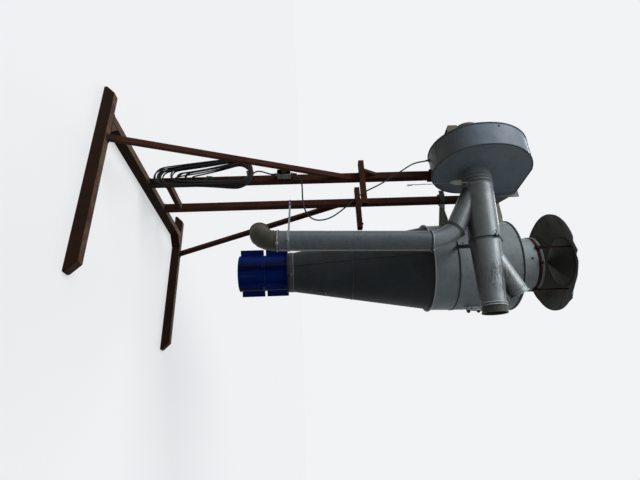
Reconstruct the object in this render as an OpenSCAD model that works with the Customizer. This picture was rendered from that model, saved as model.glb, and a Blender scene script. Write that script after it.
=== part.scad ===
// Cyclone separator on a skid frame with its fan, ducts, rain hat and outlet sleeve.
// Origin on the floor under the middle of the cross beam, +X along the skids
// to their long ends, +Y from the near skid to the far one, +Z up. Millimetres.

/* [Base frame] */
// Length of each skid
skid_len = 1390; // [1100:10:1700]
// How far each skid reaches behind the middle of the cross beam
skid_back = 235; // [150:5:350]
// Distance between the skids, middle to middle
skid_gap = 1815; // [1700:5:2000]
// Width of a skid
skid_w = 60; // [50:1:80]
// Height of a skid and of the cross beam
skid_h = 80; // [60:1:100]
// Height that the sloped skid ends keep
skid_nose = 20; // [10:1:40]
// Length of a corner gusset along each of its two beams
gusset_leg = 90; // [60:1:140]

/* [Posts] */
// Width of the square posts
post_w = 60; // [50:1:70]
// Wall of the square tubes
tube_wall = 4; // [3:0.5:6]
// Near post, from the middle of the cross beam
near_post_y = -85; // [-120:1:-60]
// Far post, from the middle of the cross beam
far_post_y = 322; // [280:1:360]
// Top of the far post above the floor
far_post_top = 2800; // [2760:5:2840]
// Height of the tie between the posts, to its underside
tie_z = 200; // [150:5:300]
// Height of the tie bar
tie_h = 40; // [30:1:60]
// Width of the slanting braces
brace_w = 40; // [30:1:50]
// Where the braces stand on the skids, in front of the beam
brace_foot_x = 185; // [120:5:260]
// Height where the braces meet the posts
brace_top_z = 1660; // [1500:10:1750]

/* [Lifting arms] */
// Length of a lifting arm
arm_len = 420; // [380:5:520]
// How far a lifting arm reaches behind the post middle
arm_back = 115; // [80:5:150]
// Height of a lifting arm
arm_h = 45; // [35:1:60]
// Width of a lifting arm
arm_w = 60; // [50:1:90]
// Underside of the lifting arms above the floor
arm_z = 1820; // [1780:5:1900]

/* [Fan] */
// Height of the fan shaft above the floor
fan_z = 2776; // [2737:1:2817]
// Fan shaft, from the middle of the cross beam
fan_y = -194; // [-220:1:-170]
// Front face of the fan housing
fan_x = 42; // [32:1:57]
// Depth of the fan housing
fan_depth = 207; // [180:1:240]
// Radius of the round part of the scroll
scroll_r = 355; // [340:1:370]
// Height of the scroll's top above the shaft
scroll_top = 474; // [450:1:500]
// How far the scroll draws in from its back to the outlet's foot
scroll_draw = 20; // [10:1:30]
// Height of the square outlet
outlet_h = 205; // [180:1:220]
// Sheet thickness of the housing, the ducts and the cyclone
sheet = 2; // [1.5:0.5:3]
// Radius of the motor
motor_r = 115; // [100:1:130]
// Length of the motor behind the housing
motor_len = 230; // [190:5:270]

/* [Ducts] */
// Diameter of the main duct
main_d = 240; // [220:1:250]
// Diameter of the straight mouth
mouth_d = 184; // [170:1:200]
// Diameter of the down duct and of the raised branch
drop_d = 160; // [150:1:170]
// Diameter of the slanting duct and of its bend
bend_d = 150; // [140:1:154]
// Turn of the main duct away from the skid direction, in degrees
duct_turn = 8; // [6:0.5:10]
// Fall of the main duct, in degrees
duct_fall = 1.2; // [0:0.1:2]
// Distance from the fan to the joint of the branch piece
joint_t = 609; // [584:5:644]
// Distance from the fan to the end of the branch piece
wye_t = 1118; // [1088:5:1168]
// Distance from the fan to the straight mouth
mouth_t = 1178; // [1173:1:1208]
// Rise of the branch, in degrees
branch_rise = 28; // [24:1:32]
// Slope of the drop duct's first stretch, in degrees
drop_slope = 29; // [26:1:32]
// Distance from the fan to the top of the down duct
drop_t = 596; // [578:1:618]
// Lean of the down duct, its foot towards the fan, in degrees
duct_lean = 1.9; // [0:0.1:3]
// Height of the down duct's top
down_top = 2345; // [2300:5:2400]
// Height of the down duct's foot
down_foot = 1147; // [1100:1:1200]
// Bend radius of the upper bend
bend_r = 316; // [295:1:340]
// Start of the upper bend, along the main duct from the down duct's top
bend_reach = 92; // [80:1:105]
// Start of the upper bend above the down duct's top
bend_rise = 196; // [180:1:215]
// Bend radius of the lower elbow
elbow_r = 162; // [140:1:180]
// Direction that the lower elbow faces, in degrees from +X
elbow_face = 140; // [120:1:160]

/* [Cyclone] */
// Middle of the cyclone along the skids
cyc_x = 520; // [500:1:540]
// Middle of the cyclone across the skids
cyc_y = 692; // [680:1:710]
// Radius of the barrel at its rim
barrel_top_r = 415; // [400:1:430]
// Radius of the barrel at the cone
barrel_low_r = 396; // [385:1:400]
// Height of the barrel's rim
barrel_top = 3258; // [3230:1:3290]
// Height of the joint between barrel and cone
cone_top = 2470; // [2450:1:2490]
// Height of the seam round the barrel
seam_z = 2693; // [2660:1:2740]
// Height of the seam round the cone
cone_seam_z = 1767; // [1730:1:1810]
// Radius of the cone's mouth
cone_low_r = 185; // [178:1:193]
// Height of the cone's mouth
cone_foot = 1184; // [1160:1:1200]
// Radius of the outlet neck
neck_r = 252; // [240:1:262]
// Height of the outlet neck's rim
neck_top = 3507; // [3480:1:3530]

/* [Rain hat] */
// Radius of the hat
hat_r = 460; // [440:1:490]
// Height of the hat's rim
hat_z = 3702; // [3670:1:3730]
// Slope of the hat, in degrees
hat_slope = 25; // [20:1:28]
// Sideways offset of the bent hat
hat_shift = 18; // [0:1:25]
// Radius of the deflector cone under the hat
deflector_r = 232; // [210:1:240]
// Height of the deflector cone
deflector_h = 142; // [120:1:160]
// Diameter of the hat rods
rod_d = 12; // [10:1:16]

/* [Outlet sleeve] */
// Radius of the sleeve's body
sleeve_r = 165; // [155:1:180]
// Radius over the sleeve's fins
fin_r = 220; // [214:1:226]
// Thickness of a fin
fin_t = 22; // [14:1:30]
// Number of fins round the sleeve
fins = 6; // [4:1:8]
// Height of the sleeve
sleeve_h = 453; // [420:1:480]

/* [Electrical] */
// Diameter of the motor cable and of the supply cable
cable_d = 12; // [10:1:14]
// Width of the switch box
box_w = 50; // [40:1:70]
// Depth of the switch box
box_depth = 70; // [55:1:85]
// Height of the switch box
box_h = 110; // [90:5:140]
// Outer radius of the hung cable at its top
hank_r = 152; // [130:1:170]
// Thickness of the hung cable
hank_t = 64; // [50:1:80]

/* [Hidden] */
smooth = 96;
gap = 0.3;
galv = "#8a9296";
rust = "#6a3d2c";
near_post_top = fan_z - sqrt(pow(scroll_r, 2) - pow(near_post_y - fan_y, 2)) - 24;
fan_back_x = fan_x - fan_depth;
outlet_y = fan_y + scroll_r + 6;
outlet_low = scroll_top - outlet_h;
bead_w = 12;
motor_flange = 20;
// Length of the beaded collar at the fan
collar_t = 154;
collar_step = 16;
// Where the branch leaves the main axis, and its length from there
branch_t = 658;
branch_len = 435;
// Upper bend: its sweep, and its slope at the start and at the end
bend_sweep = 2 * asin(norm([bend_reach, bend_rise]) / 2 / bend_r);
bend_slope = atan2(bend_rise, bend_reach) - bend_sweep / 2;
bend_end = bend_slope + bend_sweep;
stub_start = (drop_t - bend_reach - main_d / 2) / cos(drop_slope);
down_len = (down_top - down_foot) / cos(duct_lean);
// How far the down duct's top reaches over the end of the bend
down_lap = 6;
// Top of the down duct's axis
down_point = [fan_x + drop_t * cos(duct_turn), fan_y + drop_t * sin(duct_turn), down_top];
clamp_z = 1215;
elbow_collar = 20;
// Width and thickness of the joint ring
ring_w = 14;
ring_t = 5;
// Inlet box beside the barrel
box_x0 = -92;
box_x1 = 124;
box_y = 472;
box_end = cyc_y + 60;
box_low = 2890;
box_top = 3232;
sleeve_wall = 4;
// Height of the notches in the fins, from the sleeve's foot
notch_z = 229;
rod_angles = [-5, 126, 257];
// How far the neck reaches down inside, and where its band sits under its rim
neck_drop = 300;
band_drop = 50;
// Height of the collar at the cone's foot
cone_collar = 51;
clamp_top_z = 2631;
// Middle of the switch box, and of the hung cable's top and foot
box_mid = [-10, near_post_y - post_w / 2 - box_depth / 2, 1195];
gland_h = 20;
hank_top = [-46, 790];
hank_foot = [-20, 190];
hank_foot_r = 90;
hank_wall = 38;
plug_z = 640;
// Motor cable from the fan's underside, then down to the switch box
cable_start = [-112, fan_y + 44, fan_z - 349];
cable_end = box_mid + [0, 0, box_h / 2 + gland_h];
cable_route = concat(
    [for (p = [[0, 0, 0], [5, 0, -20], [13, -3, -64], [30, -10, -130], [64, -16, -186],
        [109, -24, -241], [147, -31, -295], [202, -40, -368], [269, -48, -463], [304, -50, -537]])
        cable_start + p],
    [for (p = [[244, -52, 551], [289, -50, 490], [327, -48, 453], [369, -44, 405], [413, -40, 349],
        [451, -36, 290], [467, -32, 227], [465, -29, 167], [426, -26, 119], [371, -23, 92],
        [293, -18, 74], [187, -12, 74], [95, -5, 73], [51, -2, 60], [20, 0, 30], [2, 0, 10],
        [0, 0, 0]]) cable_end + p]);
// Cord under the pull tag
pull_t = 148;
pull_len = 251;
tag_t = 3;
// Tag's plane beside the main duct's axis
tag_y = main_d / 2 - 30;
pull_start = [fan_x + pull_t * cos(duct_turn) + (tag_y + tag_t / 2) * sin(duct_turn),
    fan_y + pull_t * sin(duct_turn) - (tag_y + tag_t / 2) * cos(duct_turn),
    fan_z - pull_t * sin(duct_fall) - pull_len - gap];
pull_route = [for (p = [[0, 0, 0], [1, 0, -30], [2, -1, -70], [1, -1, -120], [3, 0, -170],
    [2, -1, -220], [5, 0, -260], [3, -1, -300], [7, 0, -345]]) pull_start + p];

// Radius of the barrel at height z
function barrel_r(z) = barrel_low_r
    + (barrel_top_r - barrel_low_r) * (z - cone_top) / (barrel_top - cone_top);

// Down duct's axis at height z
function duct_at(z) = [down_point[0], down_point[1]]
    - (down_top - z) * tan(duct_lean) * [cos(duct_turn), sin(duct_turn)];

// Closed box beam along X with sloped ends
module skid(y) {
    cut = skid_h - skid_nose;
    front = skid_len - skid_back;
    color(rust) translate([0, y + skid_w / 2, 0]) rotate([90, 0, 0])
        linear_extrude(skid_w)
            polygon([[-skid_back, 0], [front, 0], [front, skid_nose],
                [front - cut, skid_h], [cut - skid_back, skid_h], [-skid_back, skid_nose]]);
}

module near_skid() {
    skid(-skid_gap / 2);
}

module far_skid() {
    skid(skid_gap / 2);
}

module cross_beam() {
    color(rust) translate([-post_w / 2, -(skid_gap - skid_w) / 2, 0])
        cube([post_w, skid_gap - skid_w, skid_h]);
}

module corner_gussets() {
    x = post_w / 2;
    y = (skid_gap - skid_w) / 2;
    color(rust) for (side = [-1, 1])
        linear_extrude(skid_h)
            polygon([[x, side * y], [x + gusset_leg, side * y], [x, side * (y - gusset_leg)]]);
}

// Square tube standing on the cross beam, closed at its top
module post(y, top) {
    inner = post_w - 2 * tube_wall;
    color(rust) translate([0, y, skid_h]) difference() {
        translate([-post_w / 2, -post_w / 2, 0]) cube([post_w, post_w, top - skid_h]);
        translate([-inner / 2, -inner / 2, -1]) cube([inner, inner, top - skid_h - tube_wall + 1]);
    }
}

module near_post() {
    post(near_post_y, near_post_top);
}

module far_post() {
    post(far_post_y, far_post_top);
}

module post_tie() {
    y0 = near_post_y + post_w / 2;
    y1 = far_post_y - post_w / 2;
    color(rust) translate([-post_w / 2, y0, tie_z]) cube([post_w, y1 - y0, tie_h]);
}

// Bar from a point on a skid to a point on a post, cut flat where it meets them
module brace(foot, head, side, face) {
    run = head - foot;
    len = norm(run);
    turn = atan2(run[1], run[0]);
    lean = atan2(norm([run[0], run[1]]), run[2]);
    reach = skid_gap;
    color(rust) intersection() {
        translate(foot) rotate([0, lean, turn])
            translate([-brace_w / 2, -brace_w / 2, -100]) cube([brace_w, brace_w, len + 200]);
        translate([-reach, side > 0 ? face : face - reach, skid_h])
            cube([2 * reach, reach, 2 * reach]);
    }
}

module near_brace() {
    face = near_post_y - post_w / 2;
    brace([brace_foot_x, -skid_gap / 2 + 12, skid_h], [0, face, brace_top_z], -1, face);
}

module far_brace() {
    face = far_post_y + post_w / 2;
    brace([brace_foot_x, skid_gap / 2, skid_h], [0, face, brace_top_z], 1, face);
}

// Rectangular tube along X on the near side of a post
module lift_arm(y) {
    color(rust) translate([-arm_back, y - post_w / 2 - arm_w, arm_z]) difference() {
        cube([arm_len, arm_w, arm_h]);
        translate([-1, tube_wall, tube_wall])
            cube([arm_len + 2, arm_w - 2 * tube_wall, arm_h - 2 * tube_wall]);
    }
}

module near_lift_arm() {
    lift_arm(near_post_y);
}

module far_lift_arm() {
    lift_arm(far_post_y);
}

// Short stay from the near arm's top up to the near post
module arm_stay() {
    w = 30;
    x = -post_w / 2;
    y = near_post_y - post_w / 2;
    z = arm_z + arm_h;
    color(rust) translate([x, 0, 0]) rotate([90, 0, 90])
        linear_extrude(w)
            polygon([[y - arm_w, z], [y - arm_w + 22, z], [y, z + 75], [y, z + 105]]);
}

// Outline of the fan scroll in the plane of the shaft, grown by g
module scroll_outline(g) {
    function r(a) = scroll_r + g + (scroll_top - scroll_r) * pow(max(0, 180 - a) / 90, 1.4)
        - scroll_draw * pow(max(0, a - 180) / 170, 3);
    side = scroll_r + 6;
    polygon(concat(
        [for (a = [90:4:350]) r(a) * [cos(a), sin(a)]],
        [[scroll_r + g, outlet_low - g - 20], [side, outlet_low - g], [side, scroll_top + g]]));
}

module at_fan(x) {
    translate([x, fan_y, fan_z]) rotate([90, 0, 90]) children();
}

module fan_scroll() {
    color(galv) difference() {
        at_fan(fan_back_x + sheet) linear_extrude(fan_depth - 2 * sheet) scroll_outline(0);
        at_fan(fan_back_x) linear_extrude(fan_depth) scroll_outline(-sheet);
        at_fan(fan_back_x) linear_extrude(fan_depth)
            translate([scroll_r - 40, outlet_low + sheet])
                square([60, outlet_h - 2 * sheet]);
    }
}

module fan_front() {
    color(galv) difference() {
        at_fan(fan_x - sheet) linear_extrude(sheet) scroll_outline(3);
        at_fan(fan_x - sheet - 1)
            cylinder(r = main_d / 2 - collar_step - 2 * sheet, h = sheet + 2, $fn = smooth);
    }
}

module fan_back() {
    color(galv) at_fan(fan_back_x) linear_extrude(sheet) scroll_outline(3);
}

// Seat cut to the scroll's curve, on the near post's top
module fan_saddle() {
    seat_w = 110;
    color(rust) difference() {
        translate([-post_w / 2, near_post_y - seat_w / 2, near_post_top])
            cube([post_w - sheet, seat_w, 70]);
        at_fan(-post_w) linear_extrude(2 * post_w) scroll_outline(gap);
        translate([-post_w, near_post_y + 30, near_post_top + 44]) cube([2 * post_w, 80, 60]);
    }
}

module fan_motor() {
    back = fan_back_x - motor_len;
    color("#6b5a45") translate([back, fan_y, fan_z]) rotate([0, 90, 0]) rotate_extrude($fn = smooth)
        polygon([[0, 0], [motor_r - 20, 0], [motor_r, 14], [motor_r, 70], [motor_r - 8, 74],
            [motor_r - 8, motor_len - 24], [motor_r + motor_flange, motor_len - 24],
            [motor_r + motor_flange, motor_len], [0, motor_len]]);
}

// Console that carries the motor, bolted to the fan's back
module motor_stand() {
    w = 230;
    long = 187;
    plate = 4;
    top = fan_z - motor_r - gap;
    low = top - 78;
    notch = 30;
    step = motor_flange + 2;
    color(galv) translate([fan_back_x, fan_y, 0]) rotate([90, 0, 0])
        translate([0, 0, -w / 2]) difference() {
            linear_extrude(w)
                polygon([[0, low - 30], [0, top - step], [-notch, top - step], [-notch, top],
                    [-long, top], [-long, low], [-150, low - 10]]);
            translate([0, 0, plate]) linear_extrude(w - 2 * plate)
                polygon([[1, low - 60], [1, top - step - plate], [-notch - plate, top - step - plate],
                    [-notch - plate, top - plate], [plate - long, top - plate], [plate - long, low - 60]]);
        }
}

module outlet_flange() {
    lip = 34;
    color(galv) translate([fan_back_x - lip / 2, outlet_y, fan_z + outlet_low - lip]) difference() {
        cube([fan_depth + 1.5 * lip, 8, outlet_h + 2 * lip]);
        translate([lip / 2 + sheet, -1, lip + sheet])
            cube([fan_depth - 2 * sheet, 10, outlet_h - 2 * sheet]);
    }
}

// Tapered duct from the fan outlet down to the cyclone's inlet box
module outlet_reducer() {
    y0 = outlet_y + 8;
    y1 = box_y;
    z0 = fan_z + outlet_low;
    color(galv) difference() {
        reducer_body(y0, y1, z0, 0);
        reducer_body(y0 - 1, y1 + 1, z0, sheet);
    }
}

module reducer_body(y0, y1, z0, wall) {
    drop = 130;
    translate([fan_back_x + wall, 0, 0]) rotate([90, 0, 90])
        linear_extrude(fan_depth - 2 * wall)
            polygon([[y0, z0 + wall], [y1, z0 - drop + wall],
                [y1, z0 - drop + outlet_h - 45 - wall], [y0, z0 + outlet_h - wall]]);
}

// Square inlet beside the barrel, open to it
module inlet_box() {
    color("#8b8c74") difference() {
        translate([box_x0, box_y, box_low])
            cube([cyc_x - box_x0, box_end - box_y, box_top - box_low]);
        translate([box_x0 + sheet, box_y + sheet, box_low + sheet])
            cube([cyc_x - box_x0, box_end - box_y - 2 * sheet, box_top - box_low - 2 * sheet]);
        translate([cyc_x, cyc_y, 0])
            cylinder(r = barrel_top_r + gap, h = 2 * barrel_top, $fn = smooth);
        translate([box_x1, box_y - 1, box_low - 1])
            cube([cyc_x, cyc_y - barrel_top_r - box_y, box_top]);
    }
}

// Places a duct piece on the turned and sloping axis of the main duct, along its own +X
module on_duct() {
    translate([fan_x, fan_y, fan_z]) rotate([0, duct_fall, duct_turn]) children();
}

// Tube along X from t0 to t1 with its wall inside
module tube_x(t0, t1, r, wall = sheet) {
    translate([t0, 0, 0]) rotate([0, 90, 0]) difference() {
        cylinder(r = r, h = t1 - t0, $fn = smooth);
        translate([0, 0, -1]) cylinder(r = r - wall, h = t1 - t0 + 2, $fn = smooth);
    }
}

// Collar at the fan, wider in steps, with three beads
module fan_collar() {
    r = main_d / 2;
    step = [r - collar_step, r - collar_step / 2];
    wall = 2 * sheet;
    color(galv) difference() {
        on_duct() rotate([0, 90, 0]) rotate_extrude($fn = smooth) difference() {
            union() {
                polygon([[0, -30], [step[0], -30], [step[0], 30], [step[1], 62], [r - 4, 98], [r, 100],
                    [r, collar_t - gap], [0, collar_t - gap]]);
                for (bead = [[step[0] + 1, 15], [step[1] - 3, 48], [r - 6, 78]])
                    translate(bead) circle(d = bead_w, $fn = 24);
            }
            polygon([[0, -40], [step[0] - wall, -40], [step[0] - wall, 30], [step[1] - wall, 62],
                [r - wall, 104], [r - wall, 2 * collar_t], [0, 2 * collar_t]]);
        }
        translate([fan_x - 100, fan_y - main_d, fan_z - main_d]) cube([100, 2 * main_d, 2 * main_d]);
    }
}

module main_duct() {
    r = main_d / 2;
    color(galv) difference() {
        on_duct() tube_x(collar_t, joint_t - gap, r);
        on_stub() translate([0, 0, -stub_start])
            cylinder(r = bend_d / 2 - sheet, h = stub_start, $fn = smooth);
    }
}

module joint_ring() {
    r = main_d / 2;
    color(galv) on_duct() {
        tube_x(joint_t - ring_w / 2, joint_t + ring_w / 2, r + ring_t, ring_t - gap);
        translate([joint_t - ring_w / 2, -12, r + ring_t - 1]) cube([ring_w, 24, 16]);
    }
}

// Tapering piece with the raised branch
module branch_piece() {
    r0 = main_d / 2;
    r1 = mouth_d / 2;
    color(galv) difference() {
        union() {
            on_duct() taper_x(joint_t, wye_t, r0, r1);
            on_branch() cylinder(r = drop_d / 2, h = branch_len, $fn = smooth);
            on_branch() translate([0, 0, branch_len - 10])
                cylinder(r = drop_d / 2 + 4, h = 10, $fn = smooth);
        }
        on_duct() taper_x(joint_t - 1, wye_t + 1, r0 - sheet, r1 - sheet);
        on_branch() cylinder(r = drop_d / 2 - sheet, h = branch_len + 1, $fn = smooth);
    }
}

module on_branch() {
    on_duct() translate([branch_t, 0, 0]) rotate([0, 90 - branch_rise, 0]) children();
}

module taper_x(t0, t1, r0, r1) {
    translate([t0, 0, 0]) rotate([0, 90, 0]) cylinder(r1 = r0, r2 = r1, h = t1 - t0, $fn = smooth);
}

module end_collar() {
    r = mouth_d / 2;
    color("#4a4c4c") on_duct() rotate([0, 90, 0]) rotate_extrude($fn = smooth)
        union() {
            translate([r - sheet, wye_t]) square([sheet, mouth_t - wye_t]);
            translate([r - 1, wye_t]) square([7, 10]);
            translate([r - 1, mouth_t - 7]) square([6, 7]);
        }
}

// Slanting duct from under the main duct to the upper bend
module drop_stub() {
    color(galv) difference() {
        on_stub() translate([0, 0, -stub_start]) difference() {
            cylinder(r = bend_d / 2, h = stub_start + 40, $fn = smooth);
            translate([0, 0, -1]) cylinder(r = bend_d / 2 - sheet, h = stub_start + 42, $fn = smooth);
        }
        on_bend() translate([-bend_d, -bend_d, -gap]) cube([2 * bend_d, 2 * bend_d, bend_d]);
        on_duct() translate([-100, 0, 0]) rotate([0, 90, 0])
            cylinder(r = main_d / 2 + gap, h = joint_t + 200, $fn = smooth);
    }
}

// Start of the upper bend, along an axis that falls by the given slope
module at_bend(slope) {
    translate(down_point) rotate([0, 0, duct_turn]) translate([-bend_reach, 0, bend_rise])
        rotate([0, 90 + slope, 0]) children();
}

module on_stub() {
    at_bend(drop_slope) children();
}

module on_bend() {
    at_bend(bend_slope) children();
}

module bend_ring() {
    half = 8;
    color("#3c4042") difference() {
        on_bend() translate([0, 0, -half]) cylinder(r = bend_d / 2 + 8, h = 2 * half, $fn = smooth);
        on_bend() translate([0, 0, -1]) cylinder(r = bend_d / 2 + 2 * gap, h = half + 2, $fn = smooth);
        on_stub() translate([0, 0, -bend_d])
            cylinder(r = bend_d / 2 + gap, h = bend_d + 3 * half, $fn = smooth);
    }
}

module drop_bend() {
    color(galv) translate(down_point) rotate([0, 0, duct_turn]) rotate([90, 0, 0])
        rotate([0, 0, 90 - bend_end]) translate([-bend_r, 0, 0])
            rotate_extrude(angle = bend_sweep, $fn = smooth) translate([bend_r, 0]) difference() {
                circle(r = bend_d / 2, $fn = smooth);
                circle(r = bend_d / 2 - sheet, $fn = smooth);
            }
}

// Axis of the down duct, its own +Z up from the duct's foot
module on_down() {
    translate(down_point) rotate([0, duct_lean, duct_turn]) translate([0, 0, -down_len]) children();
}

module down_duct() {
    r = drop_d / 2;
    bead_h = 16;
    top = down_len + down_lap;
    color("#50565a") on_down() difference() {
        union() {
            cylinder(r = r, h = top, $fn = smooth);
            translate([0, 0, top - bead_h]) cylinder(r = r + 5, h = bead_h, $fn = smooth);
        }
        translate([0, 0, -1]) cylinder(r = r - sheet, h = top - bead_h + 1, $fn = smooth);
        translate([0, 0, top - bead_h - 1]) cylinder(r = bend_d / 2 + 1.5, h = bead_h + 2, $fn = smooth);
    }
}

// Ring round the down duct with its flat bar, bent to lie on the far post
module duct_clamp() {
    r = drop_d / 2;
    bar_t = 6;
    bar_h = 16;
    p = duct_at(clamp_z + bar_h / 2);
    a = [post_w / 2, far_post_y - post_w / 2 - gap];
    u = (p - a) / norm(p - a);
    side = [u[1], -u[0]];
    corner = ([0, -1] + side) / (1 + u[0]);
    end = p - (r + 1) * u;
    color(galv) translate([0, 0, clamp_z]) difference() {
        union() {
            translate(p) cylinder(r = r + 4, h = bar_h, $fn = smooth);
            linear_extrude(bar_h)
                polygon([a - [post_w, 0], a, end, end + bar_t * side, a + bar_t * corner,
                    a - [post_w, bar_t]]);
        }
        translate([p[0], p[1], -1]) cylinder(r = r + 2 * gap, h = bar_h + 2, $fn = smooth);
    }
}

// Elbow under the down duct, with a short straight collar at its mouth
module lower_elbow() {
    r = drop_d / 2;
    color("#5c5f52") on_down() translate([0, 0, -gap])
        rotate([0, 0, elbow_face + 180 - duct_turn]) translate([-elbow_r, 0, 0]) rotate([90, 0, 0]) {
            rotate_extrude(angle = -90, $fn = smooth) translate([elbow_r, 0]) difference() {
                circle(r = r, $fn = smooth);
                circle(r = r - sheet, $fn = smooth);
            }
            translate([elbow_r, -12, 0]) rotate([-90, 0, 0]) difference() {
                cylinder(r = r + 5, h = 12, $fn = smooth);
                translate([0, 0, -1]) cylinder(r = r - 1, h = 14, $fn = smooth);
            }
            translate([0, -elbow_r, 0]) rotate([0, -90, 0]) difference() {
                union() {
                    cylinder(r = r, h = elbow_collar, $fn = smooth);
                    translate([0, 0, elbow_collar - 6]) cylinder(r = r + 4, h = 6, $fn = smooth);
                }
                translate([0, 0, -1]) cylinder(r = r - sheet, h = elbow_collar + 2, $fn = smooth);
            }
        }
}

// Round shell about the cyclone's axis, drawn from its half section
module about_cyclone() {
    translate([cyc_x, cyc_y, 0]) rotate_extrude($fn = smooth) children();
}

module barrel() {
    color(galv) difference() {
        about_cyclone() {
            polygon([[barrel_low_r, cone_top + 8], [barrel_top_r, barrel_top],
                [barrel_top_r - sheet, barrel_top], [barrel_low_r - sheet, cone_top + 8]]);
            translate([barrel_r(seam_z) - sheet, seam_z]) square([sheet + 3, 8]);
            translate([barrel_top_r - sheet, barrel_top - 12]) square([7, 12]);
        }
        translate([box_x0, box_y + 60, box_low + 10])
            cube([cyc_x - box_x0 - barrel_top_r + 175, box_end - box_y - 70, box_top - box_low - 20]);
    }
}

module barrel_lid() {
    color(galv) about_cyclone()
        translate([neck_r + gap, barrel_top]) square([barrel_top_r - neck_r, sheet * 2]);
}

module cone_flange() {
    color(galv) about_cyclone()
        translate([barrel_low_r - 24, cone_top]) square([38, 8]);
}

module cone() {
    top_r = barrel_low_r - 8;
    foot = cone_foot + cone_collar;
    seam_r = cone_low_r + (top_r - cone_low_r) * (cone_seam_z - foot) / (cone_top - foot);
    color("#303638") about_cyclone() union() {
        polygon([[cone_low_r, foot], [top_r, cone_top],
            [top_r - sheet, cone_top], [cone_low_r - sheet, foot]]);
        translate([cone_low_r - sheet, cone_foot + gap]) square([sheet, cone_collar - gap]);
        translate([seam_r - sheet, cone_seam_z]) square([sheet + 4, 6]);
    }
}

module neck() {
    color(galv) about_cyclone() union() {
        translate([neck_r - sheet, barrel_top - neck_drop])
            square([sheet, neck_top - barrel_top + neck_drop]);
        translate([neck_r, neck_top - 6]) circle(r = 6, $fn = 24);
    }
}

module neck_band() {
    color("#6f4034") {
        about_cyclone() translate([neck_r + gap, neck_top - band_drop]) square([5, 28]);
        translate([cyc_x, cyc_y, neck_top - band_drop + 2]) rotate([0, 0, -70])
            translate([neck_r + 3, -20, 0]) cube([22, 40, 24]);
    }
}

module hat_rods() {
    r = neck_r + 5 + rod_d / 2 + gap;
    top = hat_z + (hat_r - r) * tan(hat_slope) - 12;
    color(rust) for (a = rod_angles)
        translate([cyc_x + r * cos(a), cyc_y + r * sin(a), neck_top - band_drop])
            cylinder(d = rod_d, h = top - neck_top + band_drop, $fn = 24);
}

module rain_hat() {
    color("#7b7f7c") translate([-hat_shift, 0, hat_z]) about_cyclone() union() {
        polygon([[0, hat_r * tan(hat_slope)], [hat_r, 0], [hat_r, -8],
            [hat_r - 4, -8], [hat_r - 4, -1.5 * sheet], [0, hat_r * tan(hat_slope) - 1.5 * sheet]]);
    }
}

module hat_deflector() {
    under = hat_r - 4;
    top = hat_z - 1.5 * sheet + (under - deflector_r) / under * hat_r * tan(hat_slope) - gap;
    color("#7b7c70") translate([-hat_shift, 0, top]) about_cyclone()
        polygon([[0, -deflector_h], [deflector_r, -4], [deflector_r, 0],
            [deflector_r - 6, 0], [0, -deflector_h + 6]]);
}

module post_clamp() {
    w = post_w + 2 * gap;
    t = 8;
    color("#3a3431") translate([0, far_post_y, clamp_top_z]) difference() {
        translate([-w / 2 - t - 12, -w / 2 - t, -25]) cube([w + 2 * t + 12, w + 2 * t, 50]);
        translate([-w / 2, -w / 2, -26]) cube([w, w, 52]);
        translate([-w, -w / 2 + 8, -26]) cube([w, w - 16, 52]);
    }
}

// Flat arm from the post clamp to the barrel's side
module cyclone_arm() {
    x0 = post_w / 2 + gap + 8;
    rise = 75;
    run = [cyc_x - x0, cyc_y - far_post_y];
    len = norm(run) - barrel_r(clamp_top_z);
    color(galv) difference() {
        translate([x0, far_post_y, clamp_top_z]) rotate([0, 0, atan2(run[1], run[0])])
            translate([-20, 0, 0]) rotate([90, 0, 0]) translate([0, 0, -4]) linear_extrude(8)
                polygon([[0, -25], [len + 20, -25], [len + 60, 0], [len + 60, rise], [len, rise], [80, 25],
                    [0, 25]]);
        barrel_space(clamp_top_z + rise);
        translate([x0 - 100, far_post_y - 60, clamp_top_z - 60]) cube([100, 120, 160]);
    }
}

// Upright space that a piece beside the barrel leaves free, up to height z
module barrel_space(z) {
    translate([cyc_x, cyc_y, 0]) cylinder(r = barrel_r(z) + gap, h = 2 * barrel_top, $fn = smooth);
}

// Flat bar from the joint of the main duct to the barrel
module duct_bracket() {
    bar_t = 6;
    bar_w = 33;
    z = fan_z - main_d / 2 + 24;
    p = [fan_x + joint_t * cos(duct_turn), fan_y + joint_t * sin(duct_turn) + main_d / 2 - 36];
    run = [cyc_x - 21, cyc_y - barrel_r(z)] - p;
    color("#3d3a34") difference() {
        translate([p[0], p[1], z]) rotate([0, 0, atan2(run[1], run[0])])
            translate([-40, -bar_w / 2, 0]) cube([norm(run) + 80, bar_w, bar_t]);
        barrel_space(z + bar_t);
        on_duct() rotate([0, 90, 0])
            cylinder(r = main_d / 2 + ring_t + gap, h = joint_t + 200, $fn = smooth);
    }
}

// Moulded sleeve under the cone, with a top plate and notched fins
module outlet_sleeve() {
    fin_foot = 16;
    notch_h = 20;
    root = sleeve_r - sleeve_wall / 2;
    color("#12379a") translate([cyc_x, cyc_y, cone_foot - sleeve_h]) difference() {
        union() {
            cylinder(r = sleeve_r, h = sleeve_h, $fn = smooth);
            translate([0, 0, sleeve_h - sleeve_wall])
                cylinder(r = cone_low_r + 8, h = sleeve_wall, $fn = smooth);
            for (i = [0:fins - 1])
                rotate([0, 0, 360 / fins * i - 88]) translate([root, -fin_t / 2, 0]) {
                    translate([0, 0, fin_foot]) cube([fin_r - root, fin_t, notch_z - fin_foot]);
                    translate([0, 0, notch_z + notch_h])
                        cube([fin_r - root, fin_t, sleeve_h - notch_z - notch_h - sleeve_wall / 2]);
                }
        }
        translate([0, 0, -1]) cylinder(r = sleeve_r - sleeve_wall, h = sleeve_h + 2, $fn = smooth);
    }
}

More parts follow.
